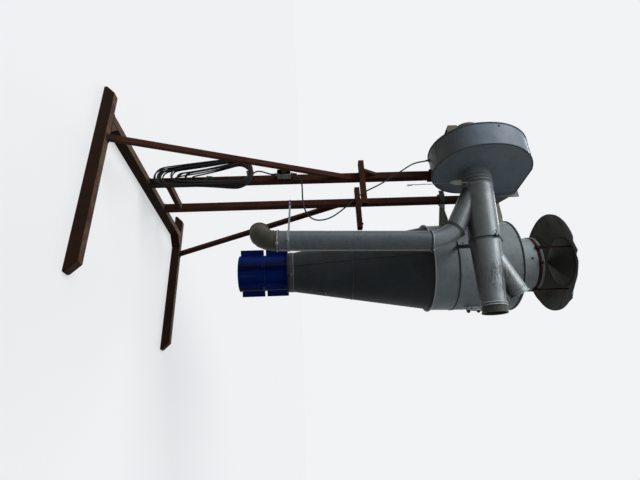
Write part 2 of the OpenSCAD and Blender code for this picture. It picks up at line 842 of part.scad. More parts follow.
// Box with a cable gland at its top and foot
module switch_box() {
    color("#7d8084") translate(box_mid) {
        translate([-box_w / 2, -box_depth / 2, -box_h / 2]) cube([box_w, box_depth, box_h]);
        for (end = [0, 1]) mirror([0, 0, end]) {
            translate([0, 0, box_h / 2]) cylinder(d = 22, h = gland_h - 6, $fn = 24);
            translate([0, 0, box_h / 2]) cylinder(d = 16, h = gland_h - gap, $fn = 24);
        }
    }
}

module switch_knob() {
    color("#1c1d1f") translate(box_mid - [0, box_depth / 2 + gap, 0]) rotate([90, 0, 0]) {
        cylinder(d = 46, h = 8, $fn = 48);
        cylinder(d = 38, h = 22, $fn = 48);
        translate([-4, -18, 0]) cube([8, 36, 28]);
    }
}

// Rings of a tube swept along a list of points
module swept_tube(route, d, sides) {
    n = len(route);
    function unit(v) = v / norm(v);
    function along(i) = unit(route[min(i + 1, n - 1)] - route[max(i - 1, 0)]);
    function side(i) = unit(cross(along(i), [0, 1, 0]));
    ring = [for (i = [0:n - 1]) let (u = side(i), w = cross(along(i), u))
        for (k = [0:sides - 1]) let (a = 360 * k / sides)
            route[i] + d / 2 * (cos(a) * u + sin(a) * w)];
    walls = [for (i = [0:n - 2]) for (k = [0:sides - 1])
        let (m = (k + 1) % sides)
            [i * sides + k, i * sides + m, (i + 1) * sides + m, (i + 1) * sides + k]];
    caps = [[for (k = [0:sides - 1]) sides - 1 - k], [for (k = [0:sides - 1]) (n - 1) * sides + k]];
    polyhedron(ring, concat(walls, caps));
}

module motor_cable() {
    color("#202224") swept_tube(cable_route, cable_d, 8);
}

module supply_cable() {
    top = box_mid[2] - box_h / 2 - gland_h;
    foot = hank_top[1] + hank_r + gap;
    color("#202224") translate([hank_top[0], box_mid[1], foot])
        swept_tube([[0, 0, 0], [0, 0, 50], [8, 0, 90], [28, 0, 135],
            [box_mid[0] - hank_top[0], 0, top - foot]], cable_d, 8);
}

// Outline of the hung cable, a large bend at the top and a small one at the foot
module hank_outline(g) {
    polygon(concat(
        [for (a = [0:15:180]) hank_top + (hank_r - g) * [cos(a), sin(a)]],
        [for (a = [180:15:360]) hank_foot + (hank_foot_r - g) * [cos(a), sin(a)]]));
}

// Supply cable hung on the near post in long loops
module cable_hank() {
    back = near_post_y - post_w / 2 - gap;
    color("#18191a") translate([0, back, 0]) rotate([90, 0, 0])
        linear_extrude(hank_t) difference() {
            hank_outline(0);
            hank_outline(hank_wall);
        }
}

// Hook on the near post that carries the hung cable
module hank_hook() {
    d = 12;
    face = near_post_y - post_w / 2;
    x = post_w / 2 - d;
    reach = hank_r - hank_wall - d / 2 - gap;
    z = hank_top[1] + sqrt(pow(reach, 2) - pow(x + hank_top[0], 2));
    color(rust) translate([-x, face, z]) {
        rotate([90, 0, 0]) cylinder(d = d, h = hank_t + d + 4, $fn = 24);
        translate([0, -hank_t - d / 2 - 4, -d / 2]) cylinder(d = d, h = 40, $fn = 24);
    }
}

// End of the supply cable, hanging inside the loops
module plug_cable() {
    x = 55;
    top = hank_top[1] + sqrt(pow(hank_r - hank_wall, 2) - pow(x + cable_d / 2, 2));
    color("#202224") translate([hank_top[0] + x, near_post_y - post_w / 2 - hank_t / 2, 0])
        swept_tube([[0, 0, top - gap], [0, 0, top - 60], [2, 0, top - 120], [4, 0, plug_z + 60],
            [4, 0, plug_z]], cable_d, 8);
}

// Rubber plug on the end of the supply cable, with its pins
module supply_plug() {
    body_r = 21;
    color("#1a1b1c") translate([hank_top[0] + 59, near_post_y - post_w / 2 - hank_t / 2, plug_z - gap]) {
        mirror([0, 0, 1]) rotate_extrude($fn = 48)
            polygon([[0, 0], [10, 0], [13, 26], [body_r - 3, 34], [body_r, 44], [body_r, 70],
                [body_r + 4, 72], [body_r + 4, 80], [0, 80]]);
        for (side = [-1, 1]) translate([side * 9.5, 0, -99]) cylinder(d = 5, h = 20, $fn = 24);
    }
}

// Plate on a strap, hung under the near side of the main duct
module pull_tag() {
    color("#9aa09f") on_duct() difference() {
        translate([pull_t, -tag_y, 0]) rotate([90, 0, 0]) linear_extrude(tag_t) difference() {
            polygon([[-4, -60], [4, -60], [4, -159], [23, -162], [22, -213], [7, -pull_len],
                [-7, -pull_len], [-22, -213], [-23, -162], [-4, -159]]);
            translate([0, 10 - pull_len]) circle(d = 5, $fn = 24);
        }
        rotate([0, 90, 0]) cylinder(r = main_d / 2 + gap, h = joint_t, $fn = smooth);
    }
}

module pull_cord() {
    color("#8d8b82") swept_tube(pull_route, 6, 8);
}

near_skid();
far_skid();
cross_beam();
corner_gussets();
near_post();
far_post();
post_tie();
near_brace();
far_brace();
near_lift_arm();
far_lift_arm();
arm_stay();
fan_saddle();
fan_scroll();
fan_front();
fan_back();
fan_motor();
motor_stand();
outlet_flange();
outlet_reducer();
inlet_box();
fan_collar();
main_duct();
joint_ring();
branch_piece();
end_collar();
drop_stub();
bend_ring();
drop_bend();
down_duct();
duct_clamp();
lower_elbow();
barrel();
barrel_lid();
cone_flange();
cone();
neck();
neck_band();
hat_rods();
rain_hat();
hat_deflector();
post_clamp();
cyclone_arm();
duct_bracket();
outlet_sleeve();
switch_box();
switch_knob();
motor_cable();
supply_cable();
cable_hank();
hank_hook();
plug_cable();
supply_plug();
pull_tag();
pull_cord();
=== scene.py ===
import math
import random

import bpy
from mathutils import Matrix, Vector, noise


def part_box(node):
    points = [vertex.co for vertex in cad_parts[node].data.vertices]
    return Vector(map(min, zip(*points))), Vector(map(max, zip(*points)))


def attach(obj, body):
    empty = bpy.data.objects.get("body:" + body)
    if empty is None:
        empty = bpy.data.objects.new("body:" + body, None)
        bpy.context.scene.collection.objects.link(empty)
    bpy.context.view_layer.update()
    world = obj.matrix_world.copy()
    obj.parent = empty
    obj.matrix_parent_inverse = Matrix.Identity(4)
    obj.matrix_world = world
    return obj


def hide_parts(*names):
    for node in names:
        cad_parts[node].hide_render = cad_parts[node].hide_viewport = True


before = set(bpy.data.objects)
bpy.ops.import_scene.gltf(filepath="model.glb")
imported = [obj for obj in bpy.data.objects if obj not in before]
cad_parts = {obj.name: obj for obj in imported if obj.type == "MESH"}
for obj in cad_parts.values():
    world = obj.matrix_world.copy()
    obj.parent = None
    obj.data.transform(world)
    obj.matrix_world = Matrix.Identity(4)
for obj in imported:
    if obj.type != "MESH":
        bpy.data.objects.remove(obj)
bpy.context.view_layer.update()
scene = bpy.context.scene
random.seed(7)

view = {"place": (2.2070, -3.2979, 1.3728), "right": (0.0403, -0.0104, 0.9991),
        "up": (-0.8913, -0.4523, 0.0313), "lens": 25.73}


def placeCamera():
    lens = bpy.data.cameras.new("camera")
    lens.sensor_width = 36
    lens.lens = view["lens"]
    lens.clip_end = 200
    camera = bpy.data.objects.new("camera", lens)
    scene.collection.objects.link(camera)
    right = Vector(view["right"]).normalized()
    back = right.cross(Vector(view["up"])).normalized()
    axes = Matrix((right, back.cross(right), back)).transposed().to_4x4()
    camera.matrix_world = Matrix.Translation(view["place"]) @ axes
    scene.camera = camera


placeCamera()
print("camera ready")


# Places that the pieces share, in metres and degrees
plan = {"fan": (0.042, -0.194, 2.776), "turn": 8.0, "fall": 1.2, "down": (0.596, 2.345, 1.147), "lean": 1.9,
        "slope": 29.0, "bendR": 0.316, "bendStart": (-0.092, 0.196), "branchT": 0.658, "rise": 28.0,
        "joint": 0.609, "wye": 1.118, "cyclone": (0.520, 0.692), "postY": (-0.085, 0.322), "post": 0.060}


def turned(degrees, letter):
    return Matrix.Rotation(math.radians(degrees), 4, letter)


def moved(x, y, z):
    return Matrix.Translation((x, y, z))


def polar(radius, degrees, z=0.0):
    a = math.radians(degrees)
    return Vector((radius * math.cos(a), radius * math.sin(a), z))


def swung(base, degrees, x, y, z):
    return base @ turned(degrees, "Z") @ moved(x, y, z)


# A place on a round wall, with +Z pointing out of it
def outward(base, degrees, radius, z):
    return swung(base, degrees, radius, 0, z) @ turned(90, "Y")


# Both ends of a bolt that runs along y through a place
def through(place, reach):
    return [place @ moved(0, -reach, 0) @ turned(90, "X"), place @ moved(0, reach, 0) @ turned(-90, "X")]


def aimed(place, way):
    return Matrix.Translation(place) @ Vector(way).to_track_quat("Z", "Y").to_matrix().to_4x4()


ductFrame = Matrix.Translation(plan["fan"]) @ turned(plan["turn"], "Z") @ turned(plan["fall"], "Y")
alongDuct = ductFrame @ turned(90, "Y")
branchFrame = ductFrame @ moved(plan["branchT"], 0, 0) @ turned(90 - plan["rise"], "Y")
reach, downTop, downFoot = plan["down"]
downPoint = Matrix.Translation(Vector((*plan["fan"][:2], downTop)) + polar(reach, plan["turn"])) \
    @ turned(plan["turn"], "Z")
downLen = (downTop - downFoot) / math.cos(math.radians(plan["lean"]))
downFrame = downPoint @ turned(plan["lean"], "Y") @ moved(0, 0, -downLen)
bendX, bendZ = plan["bendStart"]
bendAt = downPoint @ moved(bendX, 0, bendZ)
bendSweep = 2 * math.degrees(math.asin(math.hypot(bendX, bendZ) / 2 / plan["bendR"]))
bendSlope = math.degrees(math.atan2(bendZ, -bendX)) - bendSweep / 2
stubFrame = bendAt @ turned(90 + plan["slope"], "Y")
bendFrame = bendAt @ turned(90 + bendSlope, "Y")
cycloneFrame = moved(*plan["cyclone"], 0)
fanFrame = Matrix.Translation(plan["fan"]) @ turned(90, "Z") @ turned(90, "X")


def barrelR(z):
    return 0.396 + 0.019 * (z - 2.470) / 0.788


def coneR(z):
    return 0.185 + 0.203 * (z - 1.235) / 1.235


def taperR(t):
    return 0.120 - 0.028 * max(0.0, t - plan["joint"]) / (plan["wye"] - plan["joint"])


def scrollR(degrees):
    swell = 0.119 * (max(0, 180 - degrees) / 90) ** 1.4
    return 0.355 + swell - 0.020 * (max(0, degrees - 180) / 170) ** 3


def scrollRing(grow):
    ring = [polar(scrollR(a) + grow, a).to_2d() for a in range(90, 351, 3)]
    return ring + [(0.355 + grow, 0.249 - grow), (0.361, 0.269 - grow), (0.361, 0.474 + grow)]


# A socket that takes part in sums
class Wire:
    def __init__(self, paint, socket):
        self.paint = paint
        self.socket = socket

    def maths(self, operation, other, flip=False, clamp=False):
        pair = (other, self) if flip else (self, other)
        return self.paint.node("ShaderNodeMath", {"operation": operation, "use_clamp": clamp},
                               dict(enumerate(pair)))

    def __add__(self, other):
        return self.maths("ADD", other)

    def __sub__(self, other):
        return self.maths("SUBTRACT", other)

    def __rsub__(self, other):
        return self.maths("SUBTRACT", other, flip=True)

    def __mul__(self, other):
        return self.maths("MULTIPLY", other)

    def __pow__(self, other):
        return self.maths("POWER", other)

    __radd__ = __add__
    __rmul__ = __mul__

    def clamp(self):
        return self.maths("ADD", 0.0, clamp=True)

    def ramp(self, low, high, start=0.0, end=1.0):
        return self.paint.node("ShaderNodeMapRange", {"interpolation_type": "SMOOTHSTEP"},
                               {0: self, 1: low, 2: high, 3: start, 4: end})


class Paint:
    def __init__(self, name):
        self.material = bpy.data.materials.new(name)
        self.material.use_nodes = True
        self.tree = self.material.node_tree
        self.shader = self.tree.nodes["Principled BSDF"]
        self.spot = self.node("ShaderNodeTexCoord", out="Object")

    def feed(self, socket, value):
        if isinstance(value, Wire):
            self.tree.links.new(value.socket, socket)
        elif isinstance(value, tuple) and socket.type == "RGBA":
            socket.default_value = (*value, 1)
        else:
            socket.default_value = value

    def node(self, kind, settings=None, sockets=None, out=0):
        made = self.tree.nodes.new(kind)
        for key, value in (settings or {}).items():
            setattr(made, key, value)
        for key, value in (sockets or {}).items():
            self.feed(made.inputs[key], value)
        return Wire(self, made.outputs[out])

    def set(self, **values):
        for key, value in values.items():
            self.feed(self.shader.inputs[key.replace("_", " ")], value)
        return self.material

    def split(self, vector, out):
        return self.node("ShaderNodeSeparateXYZ", None, {0: vector}, out=out)

    def facing(self):
        return self.split(self.node("ShaderNodeNewGeometry", out="Normal"), "Z")

    def noise(self, scale, detail=3.0, rough=0.5, where=None):
        return self.node("ShaderNodeTexNoise", None,
                         {"Vector": where or self.spot, "Scale": scale, "Detail": detail, "Roughness": rough})

    # Noise drawn out along an axis
    def streaks(self, scale, detail, rough, turn=(0, 0, 0)):
        where = self.node("ShaderNodeMapping", None, {"Vector": self.spot, "Scale": scale, "Rotation": turn})
        return self.noise(1.0, detail, rough, where)

    def blend(self, amount, first, second):
        return self.node("ShaderNodeMix", {"data_type": "RGBA", "clamp_factor": True},
                         {0: amount, 6: first, 7: second}, out=2)

    def bump(self, height, strength, depth):
        return self.node("ShaderNodeBump", None, {"Height": height, "Strength": strength, "Distance": depth})


# Weathered sheet: broad clouds, zinc flowers, faint runs of rain, grime and a few scratches, with painted shade on the
# sides that face down
def weatheredShadedSheet(name, dark, light, metal=0.05, rough=0.5, runs=(9, 9, 0.8), turn=(0, 0, 0), stain=0.35,
                   tint=(0.13, 0.12, 0.08), under=0.0, flowers=0.22, run=0.35, marks=None, gloss=0.2,
                   underShadeFrom=0.15):
    p = Paint(name)
    cloud = p.noise(2.4, 4, 0.6)
    patch = p.noise(7.5, 3, 0.55)
    cells = p.node("ShaderNodeTexVoronoi", None, {"Vector": p.spot, "Scale": 60}, out="Color")
    flower = p.node("ShaderNodeSeparateColor", None, {0: cells})
    fine = p.noise(95, 3, 0.7)
    rain = p.streaks(runs, 4, 0.6, turn)
    tone = ((cloud - 0.5) * 1.1 + (patch - 0.5) * 0.7 + (flower - 0.5) * flowers
            + (rain - 0.5) * run + (fine - 0.5) * 0.25 + 0.5)
    colour = p.blend(tone.clamp(), dark, light)
    grime = (p.noise(4.2, 6, 0.68).ramp(0.48, 0.70) * patch.ramp(0.35, 0.65)).clamp()
    colour = p.blend(grime * stain, colour, tint)
    trickle = (rain.ramp(0.55, 0.78) * cloud.ramp(0.42, 0.65)).clamp()
    colour = p.blend(trickle * stain * 0.35, colour, tint)
    scratch = p.streaks((40, 34, 7), 5, 0.72, (0.3, 0.5, 0.2)).ramp(0.70, 0.76)
    colour = p.blend(scratch * 0.14, colour, (0.42, 0.46, 0.49))
    if marks:
        away = p.node("ShaderNodeVectorMath", {"operation": "DISTANCE"}, {0: p.spot, 1: marks}, out="Value")
        rubbed = p.streaks((14, 60, 130), 5, 0.7, (0.0, 0.75, 0.1)).ramp(0.48, 0.55)
        colour = p.blend(rubbed * away.ramp(0.07, 0.16, 0.8, 0.0), colour, (0.030, 0.030, 0.027))
    # Painted shade: the more a side faces down, the more it is blended towards the tint
    if under:
        colour = p.blend((p.facing() * -1.0).ramp(underShadeFrom, 0.95) * under, colour, tint)
    return p.set(Base_Color=colour, Metallic=metal, Specular_IOR_Level=gloss,
                 Roughness=(rough + (cloud - 0.5) * 0.22 + (flower - 0.5) * 0.07 + grime * 0.22).clamp(),
                 Normal=p.bump(cloud * 0.8 + patch * 0.35 + fine * 0.05, 0.35, 0.005))


rustTones = {"rust": (0.075, 0.024, 0.010), "bare": (0.018, 0.014, 0.013), "mud": (0.13, 0.10, 0.07),
             "darkLowSides": (0.010, 0.0072, 0.0042)}


# Old red primer gone to rust, with mud where it lies flat and the sides near the floor darkened to near black
def rustySteel(name, dark, light):
    p = Paint(name)
    height = p.split(p.spot, "Z")
    broad = p.noise(3.2, 5, 0.65)
    flake = p.noise(34, 6, 0.72)
    pits = p.noise(170, 3, 0.6)
    grain = p.streaks((24, 24, 4), 5, 0.65)
    tone = (broad - 0.5) * 1.5 + (grain - 0.5) * 1.1 + (pits - 0.5) * 0.4 + 0.5
    colour = p.blend(tone.clamp(), dark, light)
    colour = p.blend(flake.ramp(0.55, 0.66) * 0.75, colour, rustTones["rust"])
    bare = (flake.ramp(0.30, 0.38, 1.0, 0.0) * broad.ramp(0.5, 0.62)).clamp()
    colour = p.blend(bare * 0.55, colour, rustTones["bare"])
    lying = (p.facing().ramp(0.45, 0.9) * p.noise(6, 5, 0.65).ramp(0.38, 0.62)).clamp()
    low = height.ramp(0.0, 0.16, 1.0, 0.0)
    dirt = (lying * 0.6 + low * p.noise(11, 5, 0.7).ramp(0.45, 0.66) * 0.16).clamp()
    colour = p.blend(dirt, colour, rustTones["mud"])
    # Sides that don't face up, below about 0.15 m, darkened to near black
    darkLowSides = p.facing().ramp(0.35, 0.75, 1.0, 0.0) * height.ramp(0.115, 0.150, 1.0, 0.0)
    colour = p.blend(darkLowSides * 0.72, colour, rustTones["darkLowSides"])
    return p.set(Base_Color=colour, Metallic=0.0, Specular_IOR_Level=0.06,
                 Roughness=(0.66 + (flake - 0.5) * 0.4 + dirt * 0.2).clamp(),
                 Normal=p.bump(flake * 0.7 + pits * 0.25 + grain * 0.2, 0.5, 0.0016))


def plainCoat(name, dark, light, rough, grain=60, dust=0.0):
    p = Paint(name)
    fine = p.noise(grain, 3, 0.6)
    colour = p.blend(((p.noise(4.0, 4, 0.6) - 0.5) * 1.6 + (fine - 0.5) * 0.5 + 0.5).clamp(), dark, light)
    if dust:
        lying = (p.facing().ramp(0.2, 0.9) * 0.7 + p.noise(9, 5, 0.7).ramp(0.5, 0.68) * 0.5).clamp()
        colour = p.blend(lying * dust, colour, (0.2, 0.17, 0.13))
    return p.set(Base_Color=colour, Metallic=0.0, Specular_IOR_Level=0.25,
                 Roughness=(rough + (fine - 0.5) * 0.3).clamp(), Normal=p.bump(fine, 0.2, 0.0008))


# Moulded blue sleeve whose fin tips are darkened to near black in patches and whose flat faces carry dust
def sleevePlastic(name):
    p = Paint(name)
    x, y = (p.split(p.spot, letter) - middle for letter, middle in zip("XY", plan["cyclone"]))
    broad = p.noise(3.5, 5, 0.6)
    fine = p.noise(40, 4, 0.6)
    colour = p.blend(((broad - 0.5) * 1.7 + (fine - 0.5) * 0.4 + 0.5).clamp(),
                     (0.0004, 0.0068, 0.066), (0.0010, 0.0200, 0.190))
    # Fin tips, out past 0.205 m from the axis, darkened to brown-black in patches
    edge = (((x * x + y * y) ** 0.5).ramp(0.205, 0.219) * p.noise(7, 5, 0.7).ramp(0.28, 0.5)).clamp()
    colour = p.blend(edge * 0.92, colour, (0.010, 0.007, 0.006))
    colour = p.blend(p.streaks((22, 22, 2), 5, 0.65).ramp(0.55, 0.72) * 0.16, colour, (0.07, 0.11, 0.20))
    lying = (p.facing().ramp(0.5, 0.95) * fine.ramp(0.35, 0.6)).clamp()
    colour = p.blend(lying * 0.5, colour, (0.16, 0.14, 0.11))
    return p.set(Base_Color=colour, Metallic=0.0, Specular_IOR_Level=0.07,
                 Roughness=(0.55 + (fine - 0.5) * 0.3 + edge * 0.2).clamp(),
                 Normal=p.bump(broad * 0.6 + fine * 0.12, 0.3, 0.003))


# The under values paint shade on sides that face down; on the ducts it starts above the middle, so only the tops stay
# light
ductWearAndShade = {"rough": 0.34, "metal": 0.3, "gloss": 0.4, "runs": (0.9, 6, 6), "under": 0.85, "run": 0.16,
            "turn": (0, 0, math.radians(-plan["turn"])), "underShadeFrom": -0.5}
finish = {
    "zinc": weatheredShadedSheet("weatheredZinc", (0.170, 0.198, 0.212), (0.310, 0.355, 0.380), under=0.35, run=0.15),
    # bright: bright zinc of bolts and fittings, and also the painted highlight of the flange edge and the down duct's
    # top bead
    "bright": weatheredShadedSheet("brightZincAndHighlight", (0.34, 0.38, 0.41), (0.55, 0.60, 0.63), rough=0.42, stain=0.2),
    "duct": weatheredShadedSheet("ductZinc", (0.120, 0.142, 0.155), (0.245, 0.282, 0.304),
                           tint=(0.045, 0.047, 0.042), **ductWearAndShade),
    "branch": weatheredShadedSheet("branchZinc", (0.175, 0.200, 0.215), (0.350, 0.395, 0.420),
                             tint=(0.040, 0.041, 0.036), marks=(0.960, -0.140, 2.800), **ductWearAndShade),
    "fan": weatheredShadedSheet("fanZinc", (0.100, 0.132, 0.172), (0.200, 0.254, 0.322), rough=0.42, under=0.85,
                          tint=(0.062, 0.055, 0.040)),
    "face": weatheredShadedSheet("fanFace", (0.180, 0.216, 0.248), (0.310, 0.360, 0.400), rough=0.55),
    "hat": weatheredShadedSheet("hatSheet", (0.050, 0.049, 0.044), (0.125, 0.122, 0.112), metal=0.1, rough=0.65,
                          runs=(3, 3, 3), stain=0.6, tint=(0.055, 0.046, 0.032), flowers=0.12, run=0.1),
    "cone": weatheredShadedSheet("coneSheet", (0.023, 0.028, 0.031), (0.066, 0.076, 0.080), rough=0.6, stain=0.6,
                           tint=(0.045, 0.046, 0.032), flowers=0.1, run=0.2, gloss=0.1),
    "neck": weatheredShadedSheet("neckSheet", (0.20, 0.235, 0.25), (0.35, 0.405, 0.42), metal=0.1, rough=0.55,
                           runs=(2.2, 2.2, 0.9), tint=(0.13, 0.10, 0.045), run=0.1, stain=0.45),
    "down": weatheredShadedSheet("downSheet", (0.052, 0.064, 0.074), (0.130, 0.151, 0.168), rough=0.32, gloss=0.3,
                           run=0.1),
    "collar": weatheredShadedSheet("collarSheet", (0.030, 0.029, 0.027), (0.085, 0.081, 0.075), run=0.1),
    "elbow": weatheredShadedSheet("elbowSheet", (0.032, 0.031, 0.021), (0.090, 0.086, 0.062), metal=0.1, rough=0.55,
                            runs=(12, 12, 1.6), tint=(0.060, 0.040, 0.018), stain=0.7, run=0.6),
    "olive": weatheredShadedSheet("oliveSheet", (0.115, 0.12, 0.085), (0.24, 0.245, 0.180), metal=0.15, rough=0.58,
                            tint=(0.07, 0.055, 0.03), stain=0.5, under=0.5),
    "steel": rustySteel("rustySteel", (0.016, 0.0055, 0.0032), (0.064, 0.0195, 0.0105)),
    "primer": rustySteel("redPrimer", (0.022, 0.0070, 0.0042), (0.062, 0.0200, 0.0120)),
    # dark: real dark steel parts, and also the painted shade of the shade bands, grooves, lap and slots
    "dark": plainCoat("darkSteelAndShade", (0.006, 0.006, 0.006), (0.022, 0.020, 0.018), 0.6, dust=0.15),
    "motor": plainCoat("motorPaint", (0.060, 0.046, 0.030), (0.150, 0.118, 0.080), 0.55, dust=0.3),
    "blue": sleevePlastic("bluePlastic"),
    "grey": plainCoat("greyPlastic", (0.25, 0.242, 0.225), (0.42, 0.407, 0.38), 0.55, dust=0.4),
    "rubber": plainCoat("blackRubber", (0.004, 0.004, 0.005), (0.013, 0.013, 0.015), 0.75, 140, 0.04),
    "pale": plainCoat("paleTag", (0.22, 0.23, 0.215), (0.40, 0.41, 0.385), 0.6, dust=0.2),
    "rope": plainCoat("paleRope", (0.10, 0.092, 0.078), (0.30, 0.285, 0.25), 0.85, 220),
}
slotPaints = {"galvanised": "zinc bright duct branch fan face hat neck olive pale", "dark_sheet": "cone down collar",
              "dull_sheet": "elbow", "rusty_steel": "steel primer dark", "motor_paint": "motor",
              "blue_plastic": "blue", "grey_plastic": "grey", "black_rubber": "rubber rope"}
slotOf = {paint: slot for slot, paints in slotPaints.items() for paint in paints.split()}
print("finishes ready")


def clearPick():
    if bpy.context.object and bpy.context.object.mode != "OBJECT":
        bpy.ops.object.mode_set(mode="OBJECT")
    bpy.ops.object.select_all(action="DESELECT")


def onlyPick(piece):
    clearPick()
    piece.select_set(True)
    bpy.context.view_layer.objects.active = piece


def finished(piece, paint, angle=30):
    onlyPick(piece)
    bpy.ops.object.transform_apply(location=True, rotation=True, scale=True)
    bpy.ops.object.shade_smooth_by_angle(angle=math.radians(angle))
    piece.data.materials.clear()
    piece.data.materials.append(finish[paint])
    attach(piece, "root")
    return piece


def applyAll(piece):
    onlyPick(piece)
    for modifier in list(piece.modifiers):
        bpy.ops.object.modifier_apply(modifier=modifier.name)


def softenEdges(piece, width, segments=2):
    edge = piece.modifiers.new("edges", "BEVEL")
    edge.width = width
    edge.segments = segments
    edge.limit_method = "ANGLE"
    edge.angle_limit = math.radians(35)
    edge.harden_normals = False
    applyAll(piece)


# A copy of a CAD node, merged, with softened edges and even normals
def dressed(node, paint, edge):
    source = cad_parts[node]
    piece = source.copy()
    piece.data = source.data.copy()
    piece.name = node + "Dressed"
    scene.collection.objects.link(piece)
    onlyPick(piece)
    bpy.ops.object.mode_set(mode="EDIT")
    bpy.ops.mesh.select_all(action="SELECT")
    bpy.ops.mesh.remove_doubles(threshold=0.00002)
    bpy.ops.mesh.dissolve_limited(angle_limit=math.radians(0.4))
    bpy.ops.object.mode_set(mode="OBJECT")
    if edge:
        softenEdges(piece, edge)
    finished(piece, paint)
    even = piece.modifiers.new("evenNormals", "WEIGHTED_NORMAL")
    even.weight = 100
    even.keep_sharp = True
    applyAll(piece)
    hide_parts(node)


def added(kind, **facts):
    clearPick()
    getattr(bpy.ops.mesh, "primitive_" + kind + "_add")(**facts)
    return bpy.context.object


# A closed outline of (radius, height) corners turned about +Z, then put in its place
def spun(name, corners, place=None, steps=72):
    piece = added("circle", vertices=len(corners), radius=0.01)
    piece.name = name
    for vertex, (radius, height) in zip(piece.data.vertices, corners):
        vertex.co = (radius, 0, height)
    bpy.ops.object.mode_set(mode="EDIT")
    bpy.ops.mesh.select_all(action="SELECT")
    bpy.ops.mesh.spin(steps=steps, angle=2 * math.pi, center=(0, 0, 0), axis=(0, 0, 1))
    bpy.ops.mesh.select_all(action="SELECT")
    bpy.ops.mesh.remove_doubles(threshold=0.00001)
    bpy.ops.mesh.delete_loose()
    bpy.ops.mesh.select_all(action="SELECT")
    bpy.ops.mesh.normals_make_consistent(inside=False)
    bpy.ops.object.mode_set(mode="OBJECT")
    piece.data.transform(place or Matrix())
    return piece


def bead(name, radius, thick, place, steps=72):
    corners = [polar(thick, 45 * k) + Vector((radius, 0, 0)) for k in range(8)]
    return spun(name, [(corner.x, corner.y) for corner in corners], place, steps)


def band(name, radius, thick, low, high, place, steps):
    wide, cut = radius + thick, 0.0008
    return spun(name, [(radius, low), (wide - cut, low), (wide, low + cut), (wide, high - cut),
                       (wide - cut, high), (radius, high)], place, steps)


def beadOn(name, radius, thick, base, z, paint, steps=96):
    return finished(bead(name, radius, thick, base @ moved(0, 0, z), steps), paint)


def bandOn(name, radius, thick, low, high, base, paint, steps=96):
    return finished(band(name, radius, thick, low, high, base, steps), paint)


# Each point of a tube draws one random number, also where it doesn't wobble
def tube(name, points, radius, closed=False, wobble=0.0, sides=2):
    line = bpy.data.curves.new(name, "CURVE")
    line.dimensions = "3D"
    line.bevel_depth = radius
    line.bevel_resolution = sides
    line.use_fill_caps = not closed
    run = line.splines.new("POLY")
    run.points.add(len(points) - 1)
    run.use_cyclic_u = closed
    for knot, place in zip(run.points, points):
        knot.co = (*place, 1)
        knot.radius = 1 + random.uniform(-wobble, wobble)
    piece = bpy.data.objects.new(name, line)
    scene.collection.objects.link(piece)
    onlyPick(piece)
    bpy.ops.object.convert(target="MESH")
    return bpy.context.object


def drawn(name, points, radius, paint, angle=30, **facts):
    return finished(tube(name, points, radius, **facts), paint, angle)


def joined(name, pieces):
    clearPick()
    for piece in pieces:
        piece.select_set(True)
    bpy.context.view_layer.objects.active = pieces[0]
    if len(pieces) > 1:
        bpy.ops.object.join()
    pieces[0].name = name
    return pieces[0]


def copied(name, seed, places):
    twins = []
    for place in places:
        twin = seed.copy()
        twin.data = seed.data.copy()
        scene.collection.objects.link(twin)
        twin.data.transform(place)
        twins.append(twin)
    return joined(name, twins)


def repeated(name, paint, seed, places):
    piece = copied(name, seed, places)
    bpy.data.objects.remove(seed)
    return finished(piece, paint)


def block(size, place, edge, segments=1):
    piece = added("cube", size=1, location=(0, 0, 0))
    piece.data.transform(Matrix.Diagonal((*size, 1)))
    softenEdges(piece, edge, segments)
    piece.data.transform(place)
    return piece


# One piece from rows of size, place on the base, edge and, where it isn't 1, the edge's segments
def built(name, paint, base, *rows, slot=None):
    parts = [block(size, base @ (moved(*place) if isinstance(place, tuple) else place), *edge)
             for size, place, *edge in rows]
    return finished(joined(name, parts), paint)


def pickFaces(piece, test):
    bpy.ops.object.mode_set(mode="EDIT")
    bpy.ops.mesh.select_mode(type="FACE")
    bpy.ops.mesh.select_all(action="DESELECT")
    bpy.ops.object.mode_set(mode="OBJECT")
    for face in piece.data.polygons:
        face.select = test(face)
    bpy.ops.object.mode_set(mode="EDIT")


# Hex bolt on a washer, standing on +Z, with a crowned head
def boltSeed(across, high):
    washer = high * 0.25
    piece = added("cylinder", vertices=6, radius=across / 1.732, depth=high, location=(0, 0, high / 2 + washer))
    bpy.ops.object.mode_set(mode="EDIT")
    bpy.ops.mesh.select_all(action="DESELECT")
    bpy.ops.mesh.primitive_cylinder_add(vertices=16, radius=across * 0.86, depth=washer,
                                        location=(0, 0, washer / 2))
    pickFaces(piece, lambda face: len(face.vertices) == 6 and face.normal.z > 0.9)
    bpy.ops.mesh.inset(thickness=across * 0.08)
    bpy.ops.transform.translate(value=(0, 0, high * 0.14))
    bpy.ops.object.mode_set(mode="OBJECT")
    return piece


def rivetSeed(radius):
    piece = added("uv_sphere", segments=10, ring_count=6, radius=radius)
    bpy.ops.object.mode_set(mode="EDIT")
    bpy.ops.mesh.select_all(action="SELECT")
    bpy.ops.mesh.bisect(plane_co=(0, 0, -radius * 0.2), plane_no=(0, 0, 1), clear_inner=True, use_fill=True)
    bpy.ops.mesh.select_all(action="SELECT")
    bpy.ops.transform.resize(value=(1, 1, 0.6))
    bpy.ops.object.mode_set(mode="OBJECT")
    return piece


seeds = {"large": boltSeed(0.019, 0.009), "middle": boltSeed(0.013, 0.0065), "small": boltSeed(0.010, 0.005),
         "rivet": rivetSeed(0.0045)}


def fastened(name, seed, places, paint="bright"):
    return finished(copied(name, seeds[seed], places), paint, 35)


print("tools ready")


